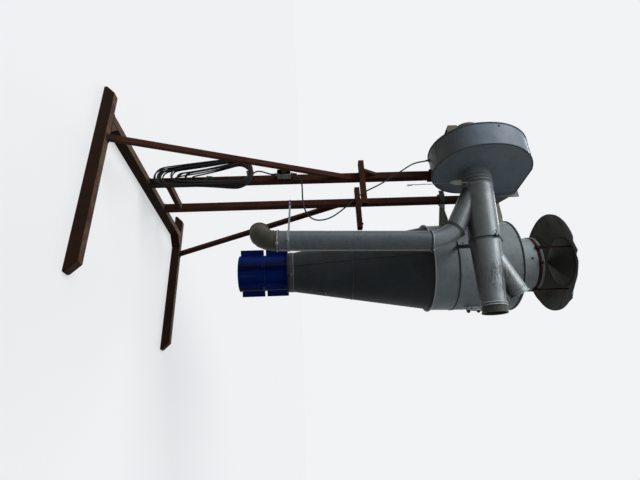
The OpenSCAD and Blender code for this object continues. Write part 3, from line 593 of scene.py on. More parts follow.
# Cords: the motor cable, the hung supply cable with its plug, and the pull cord
def wire(name, points, diameter, paint="rubber"):
    line = bpy.data.curves.new(name, "CURVE")
    line.dimensions = "3D"
    line.bevel_depth = diameter / 2
    line.bevel_resolution = 2
    line.resolution_u = 3
    line.use_fill_caps = True
    run = line.splines.new("NURBS")
    run.points.add(len(points) - 1)
    for knot, place in zip(run.points, points):
        knot.co = (*place, 1)
    run.order_u = 4
    run.use_endpoint_u = True
    piece = bpy.data.objects.new(name, line)
    scene.collection.objects.link(piece)
    line.materials.append(finish[paint])
    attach(piece, "root")
    return piece


def wireLength(piece):
    line = piece.data.copy()
    line.bevel_depth = 0
    probe = bpy.data.objects.new("probe", line)
    scene.collection.objects.link(probe)
    mesh = bpy.data.meshes.new_from_object(probe.evaluated_get(bpy.context.evaluated_depsgraph_get()))
    total = sum((mesh.vertices[a].co - mesh.vertices[b].co).length for a, b in (e.vertices for e in mesh.edges))
    bpy.data.objects.remove(probe)
    bpy.data.meshes.remove(mesh)
    return total


relief = {"long": 0.032, "wide": 0.0095, "narrow": 0.0068, "ribs": 5}


# A ribbed, tapering sleeve of rubber from a gland along a cable
def strainRelief(name, place, way):
    long, wide, narrow, ribs = relief.values()
    corners = [(narrow - 0.0006, 0.0), (wide, 0.0), (wide, 0.003)]
    for k in range(ribs):
        z = 0.005 + k * (long - 0.006) / ribs
        r = wide + (narrow + 0.0012 - wide) * (k + 1) / ribs
        corners += [(r, z), (r - 0.0012, z + 0.0012), (r - 0.0012, z + 0.0030), (r - 0.0002, z + 0.0040)]
    corners += [(narrow + 0.0004, long), (narrow - 0.0006, long)]
    return finished(spun(name, corners, aimed(place, way), 28), "rubber", 25)


# Hexagon nut of a cable gland
def glandNut(name, place, way, across):
    high, hole = 0.009, 0.0085
    piece = added("cylinder", vertices=6, radius=across / 1.732, depth=high, location=(0, 0, high / 2))
    pickFaces(piece, lambda face: abs(face.normal.z) > 0.9)
    bpy.ops.mesh.inset(thickness=across / 1.732 * 0.87 - hole)
    bpy.ops.mesh.bridge_edge_loops()
    bpy.ops.object.mode_set(mode="OBJECT")
    piece.name = name
    softenEdges(piece, 0.0012)
    piece.data.transform(aimed(place, way))
    return finished(piece, "dark")


# The cord's places are in millimetres from its start and from its end
motorRun = {"width": 0.012, "start": (-0.112, -0.150, 2.427), "end": (-0.010, -0.150, 1.270),
            "upper": [(0, 0, 0), (5, 0, -20), (13, -3, -64), (30, -10, -130), (64, -16, -186), (109, -24, -241),
                      (147, -31, -295), (202, -40, -368), (269, -48, -463), (304, -50, -537)],
            "lower": [(244, -52, 551), (289, -50, 490), (327, -48, 453), (369, -44, 405), (413, -40, 349),
                      (451, -36, 290), (467, -32, 227), (465, -29, 167), (426, -26, 119), (371, -23, 92),
                      (293, -18, 74), (187, -12, 74), (95, -5, 73), (51, -2, 60), (20, 0, 30), (2, 0, 10),
                      (0, 0, 0)]}


def offsets(start, steps):
    return [[a + b / 1000 for a, b in zip(start, step)] for step in steps]


def motorCable():
    points = offsets(motorRun["start"], motorRun["upper"]) + offsets(motorRun["end"], motorRun["lower"])
    piece = wire("motorCable", points, motorRun["width"])
    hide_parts("motor_cable")
    reliefs = [strainRelief("fanRelief", (-0.112, -0.150, 2.4268), (0.1, 0, -1)),
               strainRelief("boxTopRelief", (-0.010, -0.150, 1.2700), (0.05, 0, 1))]
    round(wireLength(piece), 3)


# Three rings of turns, one inside the other, in five layers out from the post
hank = {"width": 0.012, "exit": (-0.010, -0.150, 1.120), "topZ": 0.936, "topX": (-0.046, -0.042, -0.029),
        "topR": (0.146, 0.126, 0.103), "footR": (0.084, 0.062, 0.043), "narrow": (1.0, 0.97, 0.93, 0.89, 0.85),
        "footX": ((-0.020, -0.006), (-0.026, 0.000), (-0.022, 0.008)),
        "footZ": ((0.185, 0.300), (0.230, 0.400), (0.320, 0.470)), "layer": -0.1213, "step": 0.013,
        "order": [(2, 0), (1, 0), (0, 0), (0, 1), (0, 2), (1, 2), (1, 1), (2, 1), (3, 1), (3, 0), (4, 0), (4, 1),
                  (4, 2), (3, 2), (2, 2)],
        "lead": [(-0.010, -0.150, 1.098), (-0.018, -0.1495, 1.070), (-0.036, -0.1485, 1.032),
                 (-0.048, -0.148, 0.998), (-0.049, -0.1475, 0.975), (-0.041, -0.1473, 0.952),
                 (-0.026, -0.1473, 0.938)],
        "tail": [(-0.0050, 0.9020), (0.0080, 0.8890), (0.0160, 0.8720), (0.0190, 0.8500), (0.0190, 0.8100),
                 (0.0165, 0.7600), (0.0140, 0.7100), (0.0130, 0.6750), (0.0130, 0.6400)]}


def crown(layer, ring):
    radius = hank["topR"][ring] * hank["narrow"][layer]
    return Vector((hank["topX"][ring], radius, hank["topZ"] - hank["step"] * ring - radius))


def layerY(layer):
    return hank["layer"] - hank["step"] * layer


def arc(x, radius, y, z, angles):
    return [(x + radius * math.cos(math.radians(a)), y, z + radius * math.sin(math.radians(a))) for a in angles]


# One long side of a turn, which bows out by chance
def longSide(x0, x1, y, z0, z1, way):
    bow = random.uniform(-0.016, 0.010) * way
    return [(x0 + (x1 - x0) * share + bow * math.sin(math.pi * share), y, z0 + (z1 - z0) * share)
            for share in (0.25, 0.5, 0.75)]


# One cable of about 24 m: down from the box, fifteen turns round hook and foot, then the tail with its plug
def supplyCable():
    points = [hank["exit"]] + hank["lead"]
    for count, (layer, ring) in enumerate(hank["order"]):
        y = layerY(layer)
        footX, footZ = (random.uniform(*hank[key][ring]) for key in ("footX", "footZ"))
        footX += (hank["topR"][0] - hank["topR"][ring]) * 0.2
        footR = hank["footR"][ring]
        topX, topR, topZ = crown(layer, ring)
        points += arc(topX, topR, y, topZ, (70, 52, 34, 16, 0))
        points += longSide(topX + topR, footX + footR, y, topZ, footZ, 1)
        points += arc(footX, footR, y, footZ, range(0, -181, -30))
        points += longSide(footX - footR, topX - topR, y, footZ, topZ, -1)
        nextLayer, nextRing = hank["order"][min(count + 1, len(hank["order"]) - 1)]
        start, end = crown(layer, ring), crown(nextLayer, nextRing)
        for a in range(180, 89, -18):
            share = 0 if a > 150 else (150 - a) / 60
            share = share * share * (3 - 2 * share)
            middle, radius, height = start.lerp(end, share)
            points += arc(middle, radius, y + (layerY(nextLayer) - y) * share, height, (a,))
    points.append((-0.010, y, 0.9095))
    points += [(x, layerY(2), z) for x, z in hank["tail"]]
    piece = wire("supplyCable", points, hank["width"])
    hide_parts("supply_cable", "cable_hank", "plug_cable")
    return piece


plug = {"place": (0.013, -0.1473, 0.640), "body": 0.021, "collar": 0.025, "pinSide": 0.0095}


def supplyPlug():
    r, c = plug["body"], plug["collar"]
    base = aimed(plug["place"], (0, 0, -1))
    shell = [(0.0, 0.0), (0.0095, 0.0), (0.0105, 0.006), (0.0095, 0.008), (0.0112, 0.013), (0.0102, 0.015),
             (0.0122, 0.020), (0.0125, 0.026), (r - 0.003, 0.034), (r - 0.001, 0.040), (r, 0.046), (r, 0.068),
             (r + 0.001, 0.0705), (c, 0.072), (c, 0.079), (c - 0.002, 0.0805), (r - 0.001, 0.0800),
             (r - 0.002, 0.074), (0.0, 0.074)]
    body = finished(spun("plugBody", shell, base, 40), "rubber", 28)
    pin = [(0.0, 0.070), (0.0024, 0.070), (0.0024, 0.096), (0.0014, 0.0985), (0.0, 0.099)]
    pins = [spun("pin", pin, base @ moved(side * plug["pinSide"], 0, 0), 16) for side in (-1, 1)]
    pins = finished(joined("plugPins", pins), "bright")
    grips = built("plugGrips", "rubber", base, *(((0.003, 0.0035, 0.018), swung(Matrix(), angle, r - 0.0005, 0, 0.057),
                                                  0.001) for angle in range(0, 360, 20)))
    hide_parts("supply_plug")
    return [body, pins, grips]


pull = {"t": 0.148, "tagY": 0.090, "thick": 0.003, "long": 0.251, "width": 0.006, "strands": 9,
        "hang": [(0, 0, 0), (1, 0, -18), (1, 0, -34), (2, -1, -52), (2, -1, -70), (2, -1, -88), (1, -1, -105),
                 (1, -1, -122), (2, -1, -140), (3, 0, -157), (3, 0, -172), (2, -1, -190), (2, -1, -208),
                 (3, -1, -225), (4, 0, -245), (5, 0, -262), (4, -1, -280), (3, -1, -297), (5, -1, -320),
                 (7, 0, -345)]}


def pullCord():
    turn, side = math.radians(plan["turn"]), pull["tagY"] + pull["thick"] / 2
    x, y, z = plan["fan"]
    start = (x + pull["t"] * math.cos(turn) + side * math.sin(turn),
             y + pull["t"] * math.sin(turn) - side * math.cos(turn),
             z - pull["t"] * math.sin(math.radians(plan["fall"])) - pull["long"] - 0.0003)
    points = offsets(start, pull["hang"])
    piece = wire("pullCord", points, pull["width"], "rope")
    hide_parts("pull_cord")
    foot = Vector(points[-1])
    strands = []
    for k in range(pull["strands"]):
        angle, spread = k * 40 + random.uniform(-12, 12), random.uniform(0.002, 0.005)
        rows = ((0.0026, 0.030), (0.003 + spread / 2, 0.018), (0.003 + spread, 0.008), (0.002 + spread, 0.001))
        strands.append(tube("strand", [foot + polar(out, angle, up) for out, up in rows], 0.0009, sides=1))
    fray = finished(joined("cordFray", strands), "pale", 40)
    turns = [bead("turn", radius, 0.0024, aimed(foot + Vector((0, 0, up)), way), 20)
             for radius, up, way in ((0.0035, 0.034, (0.15, 0, 1)), (0.0034, 0.0375, (-0.1, 0.15, 1)))]
    knot = finished(joined("cordKnot", turns), "rope", 40)
    round(wireLength(piece), 3)


motorCable()
supply = supplyCable()
supplyRelief = strainRelief("boxFootRelief", (-0.010, -0.150, 1.1200), (-0.02, 0, -1))
supplyLong = round(wireLength(supply), 2)
supplyPlug() + [supplyRelief]
pullCord()
print("cords ready, supply cable", supplyLong, "m")


# The CAD nodes in their finishes: paint and width of the softened edges, then the nodes
dressing = {("steel", 0.005): "near_post far_post", ("steel", 0.004): "near_skid far_skid cross_beam",
            ("steel", 0.003): "post_tie near_brace far_brace", ("steel", 0.002): "corner_gussets arm_stay fan_saddle",
            ("steel", 0): "hat_rods hank_hook", ("primer", 0.003): "near_lift_arm far_lift_arm",
            ("primer", 0.001): "neck_band", ("fan", 0): "fan_scroll fan_back", ("face", 0): "fan_front",
            ("motor", 0.002): "fan_motor", ("motor", 0.001): "motor_stand",
            ("zinc", 0.001): "outlet_flange cone_flange", ("zinc", 0): "fan_collar duct_clamp barrel barrel_lid",
            ("olive", 0): "outlet_reducer inlet_box", ("olive", 0.001): "cyclone_arm",
            ("duct", 0): "main_duct drop_stub drop_bend", ("branch", 0): "branch_piece", ("collar", 0): "end_collar",
            ("dark", 0.001): "joint_ring bend_ring duct_bracket", ("dark", 0.002): "post_clamp",
            ("down", 0): "down_duct", ("elbow", 0): "lower_elbow", ("cone", 0): "cone", ("neck", 0): "neck",
            ("hat", 0): "hat_deflector", ("blue", 0.002): "outlet_sleeve", ("grey", 0.003): "switch_box",
            ("rubber", 0.001): "switch_knob", ("pale", 0): "pull_tag"}
for (paint, edge), nodes in dressing.items():
    for node in nodes.split():
        dressed(node, paint, edge)
print("CAD pieces dressed")


# Cyclone: rims, seams, bolts and small fittings
cyclone = {"rim": 3.252, "bandZ": 2.690, "flangeBolts": 20, "flangeR": 0.4020, "lidBolts": 12, "lidR": 0.388,
           "seamAngle": -88, "strapAngle": -62, "bracketAngle": -8, "bracketZ": 1.496, "latchAngle": -3,
           "latchZ": 2.87, "boltAngle": -70}


def wallLine(name, wallR, lift, degrees, thick, paint, heights):
    drawn(name, [cycloneFrame @ polar(wallR(z) + lift, degrees, z) for z in heights], thick, paint)


def ringBolts(name, seed, radius, count, z, first, tilt=None, paint="zinc"):
    places = [swung(cycloneFrame, first + 360 * k / count, radius, 0, z) @ (tilt or Matrix()) for k in range(count)]
    fastened(name, seed, places, paint)


def cycloneDetails():
    base, middle = cycloneFrame, cyclone["bandZ"]
    beadOn("barrelRim", barrelR(3.250) + 0.0035, 0.0058, base, cyclone["rim"], "zinc", 120)
    bandOn("rimGasket", barrelR(3.240) + 0.0004, 0.0022, 3.2385, 3.2445, base, "dark", 120)
    bandOn("barrelBand", barrelR(middle) + 0.0002, 0.0026, middle + 0.005, middle + 0.020, base, "zinc", 120)
    # Painted shadow: a dark band under the lap of the barrel's middle seam
    bandOn("barrelLapShadow", barrelR(middle) + 0.0002, 0.0045, middle - 0.0055, middle + 0.005, base, "dark", 120)
    ringBolts("barrelRivets", "rivet", barrelR(2.7) + 0.0012, 36, 2.7125, 4, turned(90, "Y"))
    wallLine("barrelLap", barrelR, 0.0012, 148, 0.0032, "zinc", (2.484, 2.685))
    wallLine("barrelLapUpper", barrelR, 0.0012, 148, 0.0032, "zinc", (2.72, 2.95, 3.235))
    wallLine("barrelLapFront", barrelR, 0.0010, -131, 0.0026, "zinc", (2.72, 2.95, 3.235))
    # Painted highlight: a bright band along the flange edge, with a band of painted shade under it
    bandOn("flangeEdgeHighlight", 0.4085, 0.0022, 2.4692, 2.4792, base, "bright", 120)
    bandOn("flangeShade", 0.3885, 0.006, 2.4635, 2.4697, base, "dark", 120)
    ringBolts("flangeBolts", "small", cyclone["flangeR"], cyclone["flangeBolts"], 2.4780, 5)
    ringBolts("flangeNuts", "small", cyclone["flangeR"], cyclone["flangeBolts"], 2.4700, 5, turned(180, "X"))
    ringBolts("lidBolts", "small", cyclone["lidR"], cyclone["lidBolts"], 3.262, 12)
    bandOn("lidFoot", 0.2525, 0.012, 3.2620, 3.2650, base, "zinc")
    heights = [2.466 - 0.1231 * k for k in range(11)]
    seam = [base @ polar(coneR(z) + 0.0012, cyclone["seamAngle"] + 0.14 * k, z) for k, z in enumerate(heights)]
    drawn("coneLap", seam, 0.0058, "dark", wobble=0.12)
    wallLine("coneLapEdge", coneR, 0.0002, cyclone["seamAngle"] + 1.3, 0.0022, "cone", (2.460, 2.0, 1.6, 1.245))
    wallLine("coneLapBack", coneR, 0.0010, 95, 0.0036, "cone", (2.462, 1.9, 1.240))
    bandOn("coneRingEdge", coneR(1.770) + 0.0025, 0.0024, 1.7670, 1.7700, base, "down", 120)
    beadOn("coneFootBead", coneR(1.2335) + 0.0010, 0.0035, base, 1.2335, "zinc")
    ear = swung(base, cyclone["strapAngle"], 0.196, 0, 1.212)
    strap = [band("strap", 0.1852, 0.0028, 1.2010, 1.2230, base, 96)]
    strap += [block((0.020, 0.003, 0.022), ear @ moved(0, side, 0), 0.001) for side in (-0.007, 0.007)]
    finished(joined("coneFootStrap", strap), "elbow")
    fastened("strapBolt", "small", through(ear @ moved(0.002, 0, 0), 0.0085))
    lug = swung(base, cyclone["bracketAngle"], coneR(cyclone["bracketZ"]), 0, cyclone["bracketZ"]) @ turned(9.3, "Y")
    built("coneBracket", "olive", lug, ((0.005, 0.042, 0.060), (0.003, 0, 0), 0.0015),
          ((0.022, 0.006, 0.050), (0.014, 0, 0), 0.0015))
    fastened("coneBracketBolts", "small", [lug @ moved(0.0055, y, z) @ turned(90, "Y")
                                           for y in (-0.013, 0.013) for z in (-0.021, 0.021)])
    plate = swung(base, cyclone["latchAngle"], barrelR(cyclone["latchZ"]), 0, cyclone["latchZ"]) @ turned(-1.4, "Y")
    built("barrelLatch", "bright", plate, ((0.005, 0.040, 0.180), (0.003, 0, 0), 0.0015),
          ((0.034, 0.046, 0.030), (0.017, 0, 0.074), 0.003),
          ((0.008, 0.022, 0.150), moved(0.036, 0, 0.004) @ turned(6, "Y"), 0.003),
          ((0.034, 0.030, 0.026), (0.017, 0, -0.064), 0.003))
    knob = [(0.0, 0.0), (0.015, 0.0), (0.017, 0.004), (0.015, 0.014), (0.009, 0.020), (0.0, 0.021)]
    knobs = [spun("knob", knob, plate @ moved(0.036, y, z) @ turned(90, "Y"), 20)
             for y, z in ((0.004, 0.030), (-0.004, -0.064))]
    finished(joined("latchKnobs", knobs), "dark")
    fastened("latchBolts", "large", [plate @ moved(*spot) @ turned(90, "Y") for spot in
                                     ((0.0335, -0.012, 0.074), (0.0335, 0.012, 0.074), (0.0055, 0.014, -0.030))],
             "dark")
    fastened("barrelPlug", "middle", [outward(base, -98, barrelR(2.736), 2.736)], "dark")
    port = [(0.0, 0.0), (0.011, 0.0), (0.011, 0.003), (0.008, 0.0034), (0.007, 0.0015), (0.0, 0.0015)]
    finished(spun("neckPort", port, outward(base, -80, 0.2515, 3.400), 28), "dark")
    bandOn("neckSeamLow", 0.2522, 0.0028, 3.300, 3.308, base, "neck")
    beadOn("neckRim", 0.2530, 0.0066, base, 3.501, "neck")
    wallLine("neckLap", lambda z: 0.2530, 0, -128, 0.0024, "neck", (3.270, 3.40, 3.455))
    fastened("bandBolt", "middle", through(swung(base, cyclone["boltAngle"], 0.268, 0, 3.471), 0.020))
    print("cyclone details ready")


# Rain hat: bent sheet with folded ribs over a deflector; kinks are (angle, drop) pairs round the rim
hat = {"radius": 0.460, "z": 3.702, "slope": 25.0, "shift": -0.018, "thick": 0.003, "lip": -0.008, "ribs": 10,
       "firstRib": 11, "rods": (-5, 126, 257), "rodR": 0.2633, "deflectorR": 0.232, "deflectorH": 0.142,
       "rivets": 24, "dent": 0.008,
       "kinks": ((206, 0.0), (214, 0.006), (222, -0.004), (236, 0.0), (262, 0.0), (270, 0.012), (277, 0.002),
                 (281, -0.008), (285, 0.014), (293, 0.002), (308, 0.004), (318, 0.020), (330, 0.022),
                 (335, 0.002), (338, -0.010), (344, 0.004), (356, 0.004), (360, 0.0))}
hatFrame = cycloneFrame @ moved(hat["shift"], 0, hat["z"])
hatRise = hat["radius"] * math.tan(math.radians(hat["slope"]))


# How far the sheet is bent down at a place, from none well inside to all at the rim
def hatDrop(x, y, out):
    edge = max(0.0, out - 0.55) / 0.45
    wave = noise.noise(Vector((x * 5.2, y * 5.2, 3.1))) * 0.9 + noise.noise(Vector((x * 13, y * 13, 8.7))) * 0.1
    angle = math.degrees(math.atan2(y, x)) % 360
    fold = 0.0
    for (low, first), (high, second) in zip(hat["kinks"], hat["kinks"][1:]):
        if low <= angle < high:
            fold = first + (second - first) * (angle - low) / (high - low)
    return -edge * edge * (hat["dent"] * (0.75 + wave * 1.5) + fold)


def onHat(radius, degrees, z, out):
    spot = polar(radius, degrees, z)
    spot.z += hatDrop(spot.x, spot.y, out)
    return hatFrame @ spot


def rainHat():
    radius, thick, rings, steps = hat["radius"], hat["thick"], 16, 180
    outer = [(radius * k / rings, hatRise * (1 - k / rings)) for k in range(rings + 1)]
    inner = [(r, z - thick) for r, z in reversed(outer[1:])]
    lip = [(radius, hat["lip"]), (radius - thick, hat["lip"])]
    piece = spun("rainHat", outer + lip + inner + [(0.0, hatRise - thick)], None, steps)
    for vertex in piece.data.vertices:
        x, y, _ = vertex.co
        vertex.co.z += hatDrop(x, y, math.hypot(x, y) / radius)
    piece.data.transform(hatFrame)
    finished(piece, "hat", 40)
    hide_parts("rain_hat")
    ribs, seams = [], []
    for k in range(hat["ribs"]):
        for store, lift, wide in ((ribs, 0.0010, 0.0030), (seams, -0.0036, 0.0013)):
            line = [onHat(radius * share, 360 / hat["ribs"] * k + hat["firstRib"], hatRise * (1 - share) + lift, share)
                    for share in (0.09, 0.25, 0.4, 0.55, 0.7, 0.82, 0.92, 0.985)]
            store.append(tube("rib", line, wide, sides=1))
    finished(joined("hatRibs", ribs), "hat", 40)
    finished(joined("hatUnderSeams", seams), "hat", 40)
    rim = [onHat(radius - thick, 360 * k / steps, -0.006, 0.99) for k in range(steps)]
    drawn("hatRim", rim, 0.0034, "dark", 40, closed=True, sides=1)
    cap = [(0.0, hatRise - 0.006), (0.052, hatRise - 0.0280), (0.054, hatRise - 0.0245), (0.020, hatRise - 0.0030),
           (0.0, hatRise)]
    finished(spun("hatCap", cap, hatFrame, 40), "hat")


def deflectorDetails():
    wide, deep, under = hat["deflectorR"], hat["deflectorH"], hat["radius"] - 0.004
    top = -0.003 + (under - wide) / under * hatRise - 0.0003

    def low(r):
        return top - deep * (1 - r / wide)

    seams = [tube("seam", [hatFrame @ polar(r, 45 * k + 20, low(r) - 0.004 * r / wide - 0.0008)
                           for r in (0.006, 0.1, 0.226)], 0.0014, sides=1) for k in range(8)]
    finished(joined("deflectorSeams", seams), "hat", 40)
    tilt = 180 - math.degrees(math.atan2(deep - 0.004, wide))
    fastened("deflectorRivets", "small", [swung(hatFrame, 360 / hat["rivets"] * k, 0.222, 0, low(0.222) - 0.0038)
                                          @ turned(tilt, "Y") for k in range(hat["rivets"])], "dark")
    bandOn("deflectorEdge", wide - 0.0008, 0.003, top - 0.0085, top - 0.0005, hatFrame, "hat")


def hatRods():
    places = [swung(cycloneFrame, a, hat["rodR"], 0, 0) for a in hat["rods"]]
    rows = [row for place in places for row in (((0.022, 0.034, 0.005), place @ moved(0.002, 0, 3.452), 0.001),
                                                ((0.004, 0.030, 0.040), place @ moved(0.0085, 0, 3.474), 0.001))]
    built("rodFeet", "primer", Matrix(), *rows)
    nuts = [moved(0, 0, 3.4545), moved(0, 0, 3.4495) @ turned(180, "X"), moved(0, 0, 3.500)]
    fastened("rodNuts", "large", [place @ nut for place in places for nut in nuts], "primer")


cycloneDetails()
rainHat()
deflectorDetails()
hatRods()
print("rain hat ready")


# Fan: rolled edges, bolts, motor fins and cowl
fan = {"front": 0.042, "back": -0.165, "rim": 0.0042, "boltAngles": (98, 128, 158, 188, 218, 248, 278, 308, 336),
       "nubAngle": 163, "lapAngles": (252, 106), "motorLong": 0.230, "fins": 30, "slots": 24}


def onFan(x, radius, degrees, up=0.0):
    out = polar(radius, degrees)
    return Vector((x, plan["fan"][1] + out.x, plan["fan"][2] + out.y + up))


# A place on the scroll's wall, with +Z pointing out of it
def onScroll(x, lift, degrees):
    return aimed(onFan(x, scrollR(degrees) + lift, degrees), onFan(0, 1, degrees) - onFan(0, 0, degrees))


def fanRing(x, grow):
    return [Vector((x, plan["fan"][1] + a, plan["fan"][2] + b)) for a, b in scrollRing(grow)]


def fanDetails():
    front, back = fan["front"], fan["back"]
    drawn("rimFront", fanRing(front - 0.0015, 0.0028), fan["rim"], "fan", 40, closed=True)
    drawn("rimBack", fanRing(back + 0.0015, 0.0028), fan["rim"], "fan", 40, closed=True)
    drawn("rimShadow", fanRing(front + 0.0006, -0.0035), 0.0022, "dark", 40, closed=True, sides=1)
    for name, x, tilt in (("frontBolts", front, 90), ("backBolts", back, -90)):
        fastened(name, "small", [Matrix.Translation(onFan(x, scrollR(a) - 0.016, a)) @ turned(tilt, "Y")
                                 for a in fan["boltAngles"]], "fan")
    fastened("rimNub", "middle", [onScroll(back + 0.030, 0.001, fan["nubAngle"])], "dark")
    built("scrollLaps", "fan", Matrix(), *(((0.203, 0.022, 0.0025), onScroll(-0.0615, 0.0010, a), 0.0008)
                                           for a in fan["lapAngles"]))
    fastened("collarBolts", "small", [swung(fanFrame, 45 * k + 20, 0.134, 0, 0) for k in range(8)], "zinc")
    collar = [(0.1045, 0.0004), (0.1440, 0.0004), (0.1445, 0.0012), (0.1440, 0.0034), (0.1120, 0.0034),
              (0.1100, 0.006), (0.1045, 0.006)]
    finished(spun("collarFlange", collar, fanFrame), "face")
    print("fan edges ready")


def motorDetails():
    _, cy, cz = plan["fan"]
    back = fan["back"] - fan["motorLong"]
    axis = moved(back, cy, cz) @ turned(90, "Y")
    repeated("motorFins", "motor", block((0.012, 0.0032, 0.118), moved(0.1110, 0, 0.140), 0.0008),
             [axis @ turned(360 / fan["fins"] * k, "Z") for k in range(fan["fins"])])
    # Painted shade: dark strips stand for the cowl's slots in place of openings
    repeated("cowlSlotShade", "dark", block((0.030, 0.0045, 0.003), moved(0.062, 0, -0.0004), 0.0008),
             [axis @ turned(360 / fan["slots"] * k, "Z") for k in range(fan["slots"])])
    rings = [bead("ring", radius, thick, axis @ moved(0, 0, z), steps) for radius, thick, z, steps in
             ((0.088, 0.0022, 0.0002, 56), (0.040, 0.0022, 0.0002, 40), (0.1135, 0.0030, 0.068, 64))]
    finished(joined("cowlRings", rings), "motor")
    box = moved(back + 0.135, cy, cz)
    built("terminalBox", "motor", box, ((0.086, 0.072, 0.010), (0, 0, 0.153), 0.003, 2),
          ((0.080, 0.066, 0.040), (0, 0, 0.129), 0.004, 2))
    fastened("terminalScrews", "rivet", [box @ moved(x, y, 0.158) for x in (-0.036, 0.036)
                                         for y in (-0.029, 0.029)], "dark")
    drawn("liftEye", [onFan(back + 0.195, 0.015, k * 22.5, 0.125) for k in range(16)], 0.004, "motor", closed=True)
    foot = moved(fan["back"] - 0.024, cy, cz) @ turned(-90, "Y")
    fastened("motorBolts", "large", [swung(foot, 45 * k + 22.5, 0.1245, 0, 0) for k in range(8)], "motor")
    fastened("standBolts", "middle", [moved(x, cy + y, cz - 0.1195) @ turned(180, "X")
                                      for x in (-0.205, -0.320) for y in (-0.085, 0.085)], "dark")
    built("standEdge", "motor", moved(-0.277, cy, cz - 0.1190), ((0.150, 0.234, 0.006), (0, 0, 0), 0.0015))
    glandNut("fanGland", (-0.112, -0.150, 2.4185), (0, 0, 1), 0.024)
    fastened("saddleBolts", "large", [moved(x, -0.085 + y, 2.414) @ turned(180, "X")
                                      for x in (-0.015, 0.015) for y in (-0.045, 0.045)], "steel")


fanDetails()
motorDetails()
print("fan details ready")


# Outlet: flange bolts, folded edges of the tapering duct and the inlet box, and the box's stiffener
outlet = {"y": (0.167, 0.175), "x": (-0.182, 0.076), "z": (3.011, 3.284), "foldX": (-0.165, 0.042),
          "foldZ": ((3.045, 2.915), (3.250, 3.075)), "boxX": (-0.092, 0.124), "boxY": (0.472, 0.752),
          "boxZ": (2.890, 3.232)}


def outletDetails():
    (x0, x1), (z0, z1), (near, far) = outlet["x"], outlet["z"], outlet["y"]
    spots = [(x, z) for x in (x0 + 0.022, (x0 + x1) / 2, x1 - 0.030) for z in (z0 + 0.015, z1 - 0.015)]
    spots += [(x0 + 0.009, (z0 + z1) / 2)]
    fastened("outletBolts", "middle", [moved(x, far, z) @ turned(-90, "X") for x, z in spots], "zinc")
    fastened("outletNuts", "middle", [moved(x, near, z) @ turned(90, "X") for x, z in spots], "zinc")
    (a0, a1), (y, end), (b0, b1) = outlet["boxX"], outlet["boxY"], outlet["boxZ"]
    folds = [tube("fold", [(x, far + 0.001, a), (x, (far + y) / 2, (a + b) / 2), (x, y - 0.001, b)], 0.0034, sides=1)
             for x in outlet["foldX"] for a, b in outlet["foldZ"]]
    finished(joined("reducerFolds", folds), "olive", 40)
    runs = [run for z in (b0, b1) for run in (((a0, y, z), (a1, y, z)), ((a0, y, z), (a0, end, z)))]
    runs += [((a0, side, b0), (a0, side, b1)) for side in (y, end)]
    finished(joined("inletFolds", [tube("edge", run, 0.0036, sides=1) for run in runs]), "olive", 40)
    rows = (b0 + 0.018, b1 - 0.018)
    rivets = [moved(a0, y + 0.035 + 0.042 * k, z) @ turned(-90, "Y") for k in range(6) for z in rows]
    rivets += [moved(a0 + 0.03 + 0.05 * k, y, z) @ turned(90, "X") for k in range(4) for z in rows]
    fastened("inletRivets", "rivet", rivets, "zinc")
    built("inletStiffener", "olive", moved(a0, (y + end) / 2, (b0 + b1) / 2),
          ((0.003, 0.260, 0.024), (-0.0005, 0, 0), 0.001), ((0.003, 0.024, 0.320), (-0.0007, 0, 0), 0.001))


outletDetails()
print("outlet ready")


# The line where a tube leaves the main duct's wall
def meeting(tubeFrame, radius, steps=60):
    inverse = alongDuct.inverted()
    line = []
    for k in range(steps):
        s = 0.0
        while s < 0.8:
            spot = tubeFrame @ polar(radius, 360 * k / steps, s)
            local = inverse @ spot
            if math.hypot(local.x, local.y) > taperR(local.z) + 0.0005:
                line.append(spot)
                break
            s += 0.0015
    return line


# Ducts: laps along the sheets, welds, rings and lugs
duct = {"clasp": 70, "stubLong": 0.439, "branchR": 0.080, "stubR": 0.075, "downBead": 0.006, "downLug": -20,
        "footLug": -60, "elbowR": 0.162, "elbowFace": 140, "gores": (-16, -33, -50, -67, -83),
        "hook": ((-0.121, -0.010, 0.602), (-0.134, -0.010, 0.598), (-0.141, -0.008, 0.590),
                 (-0.143, -0.006, 0.579), (-0.138, -0.004, 0.568), (-0.129, -0.003, 0.563))}


def lapLine(name, base, radius, degrees, heights, thick, paint="duct", angle=40):
    drawn(name, [base @ polar(radius(z) if callable(radius) else radius, degrees, z) for z in heights], thick,
          paint, angle)


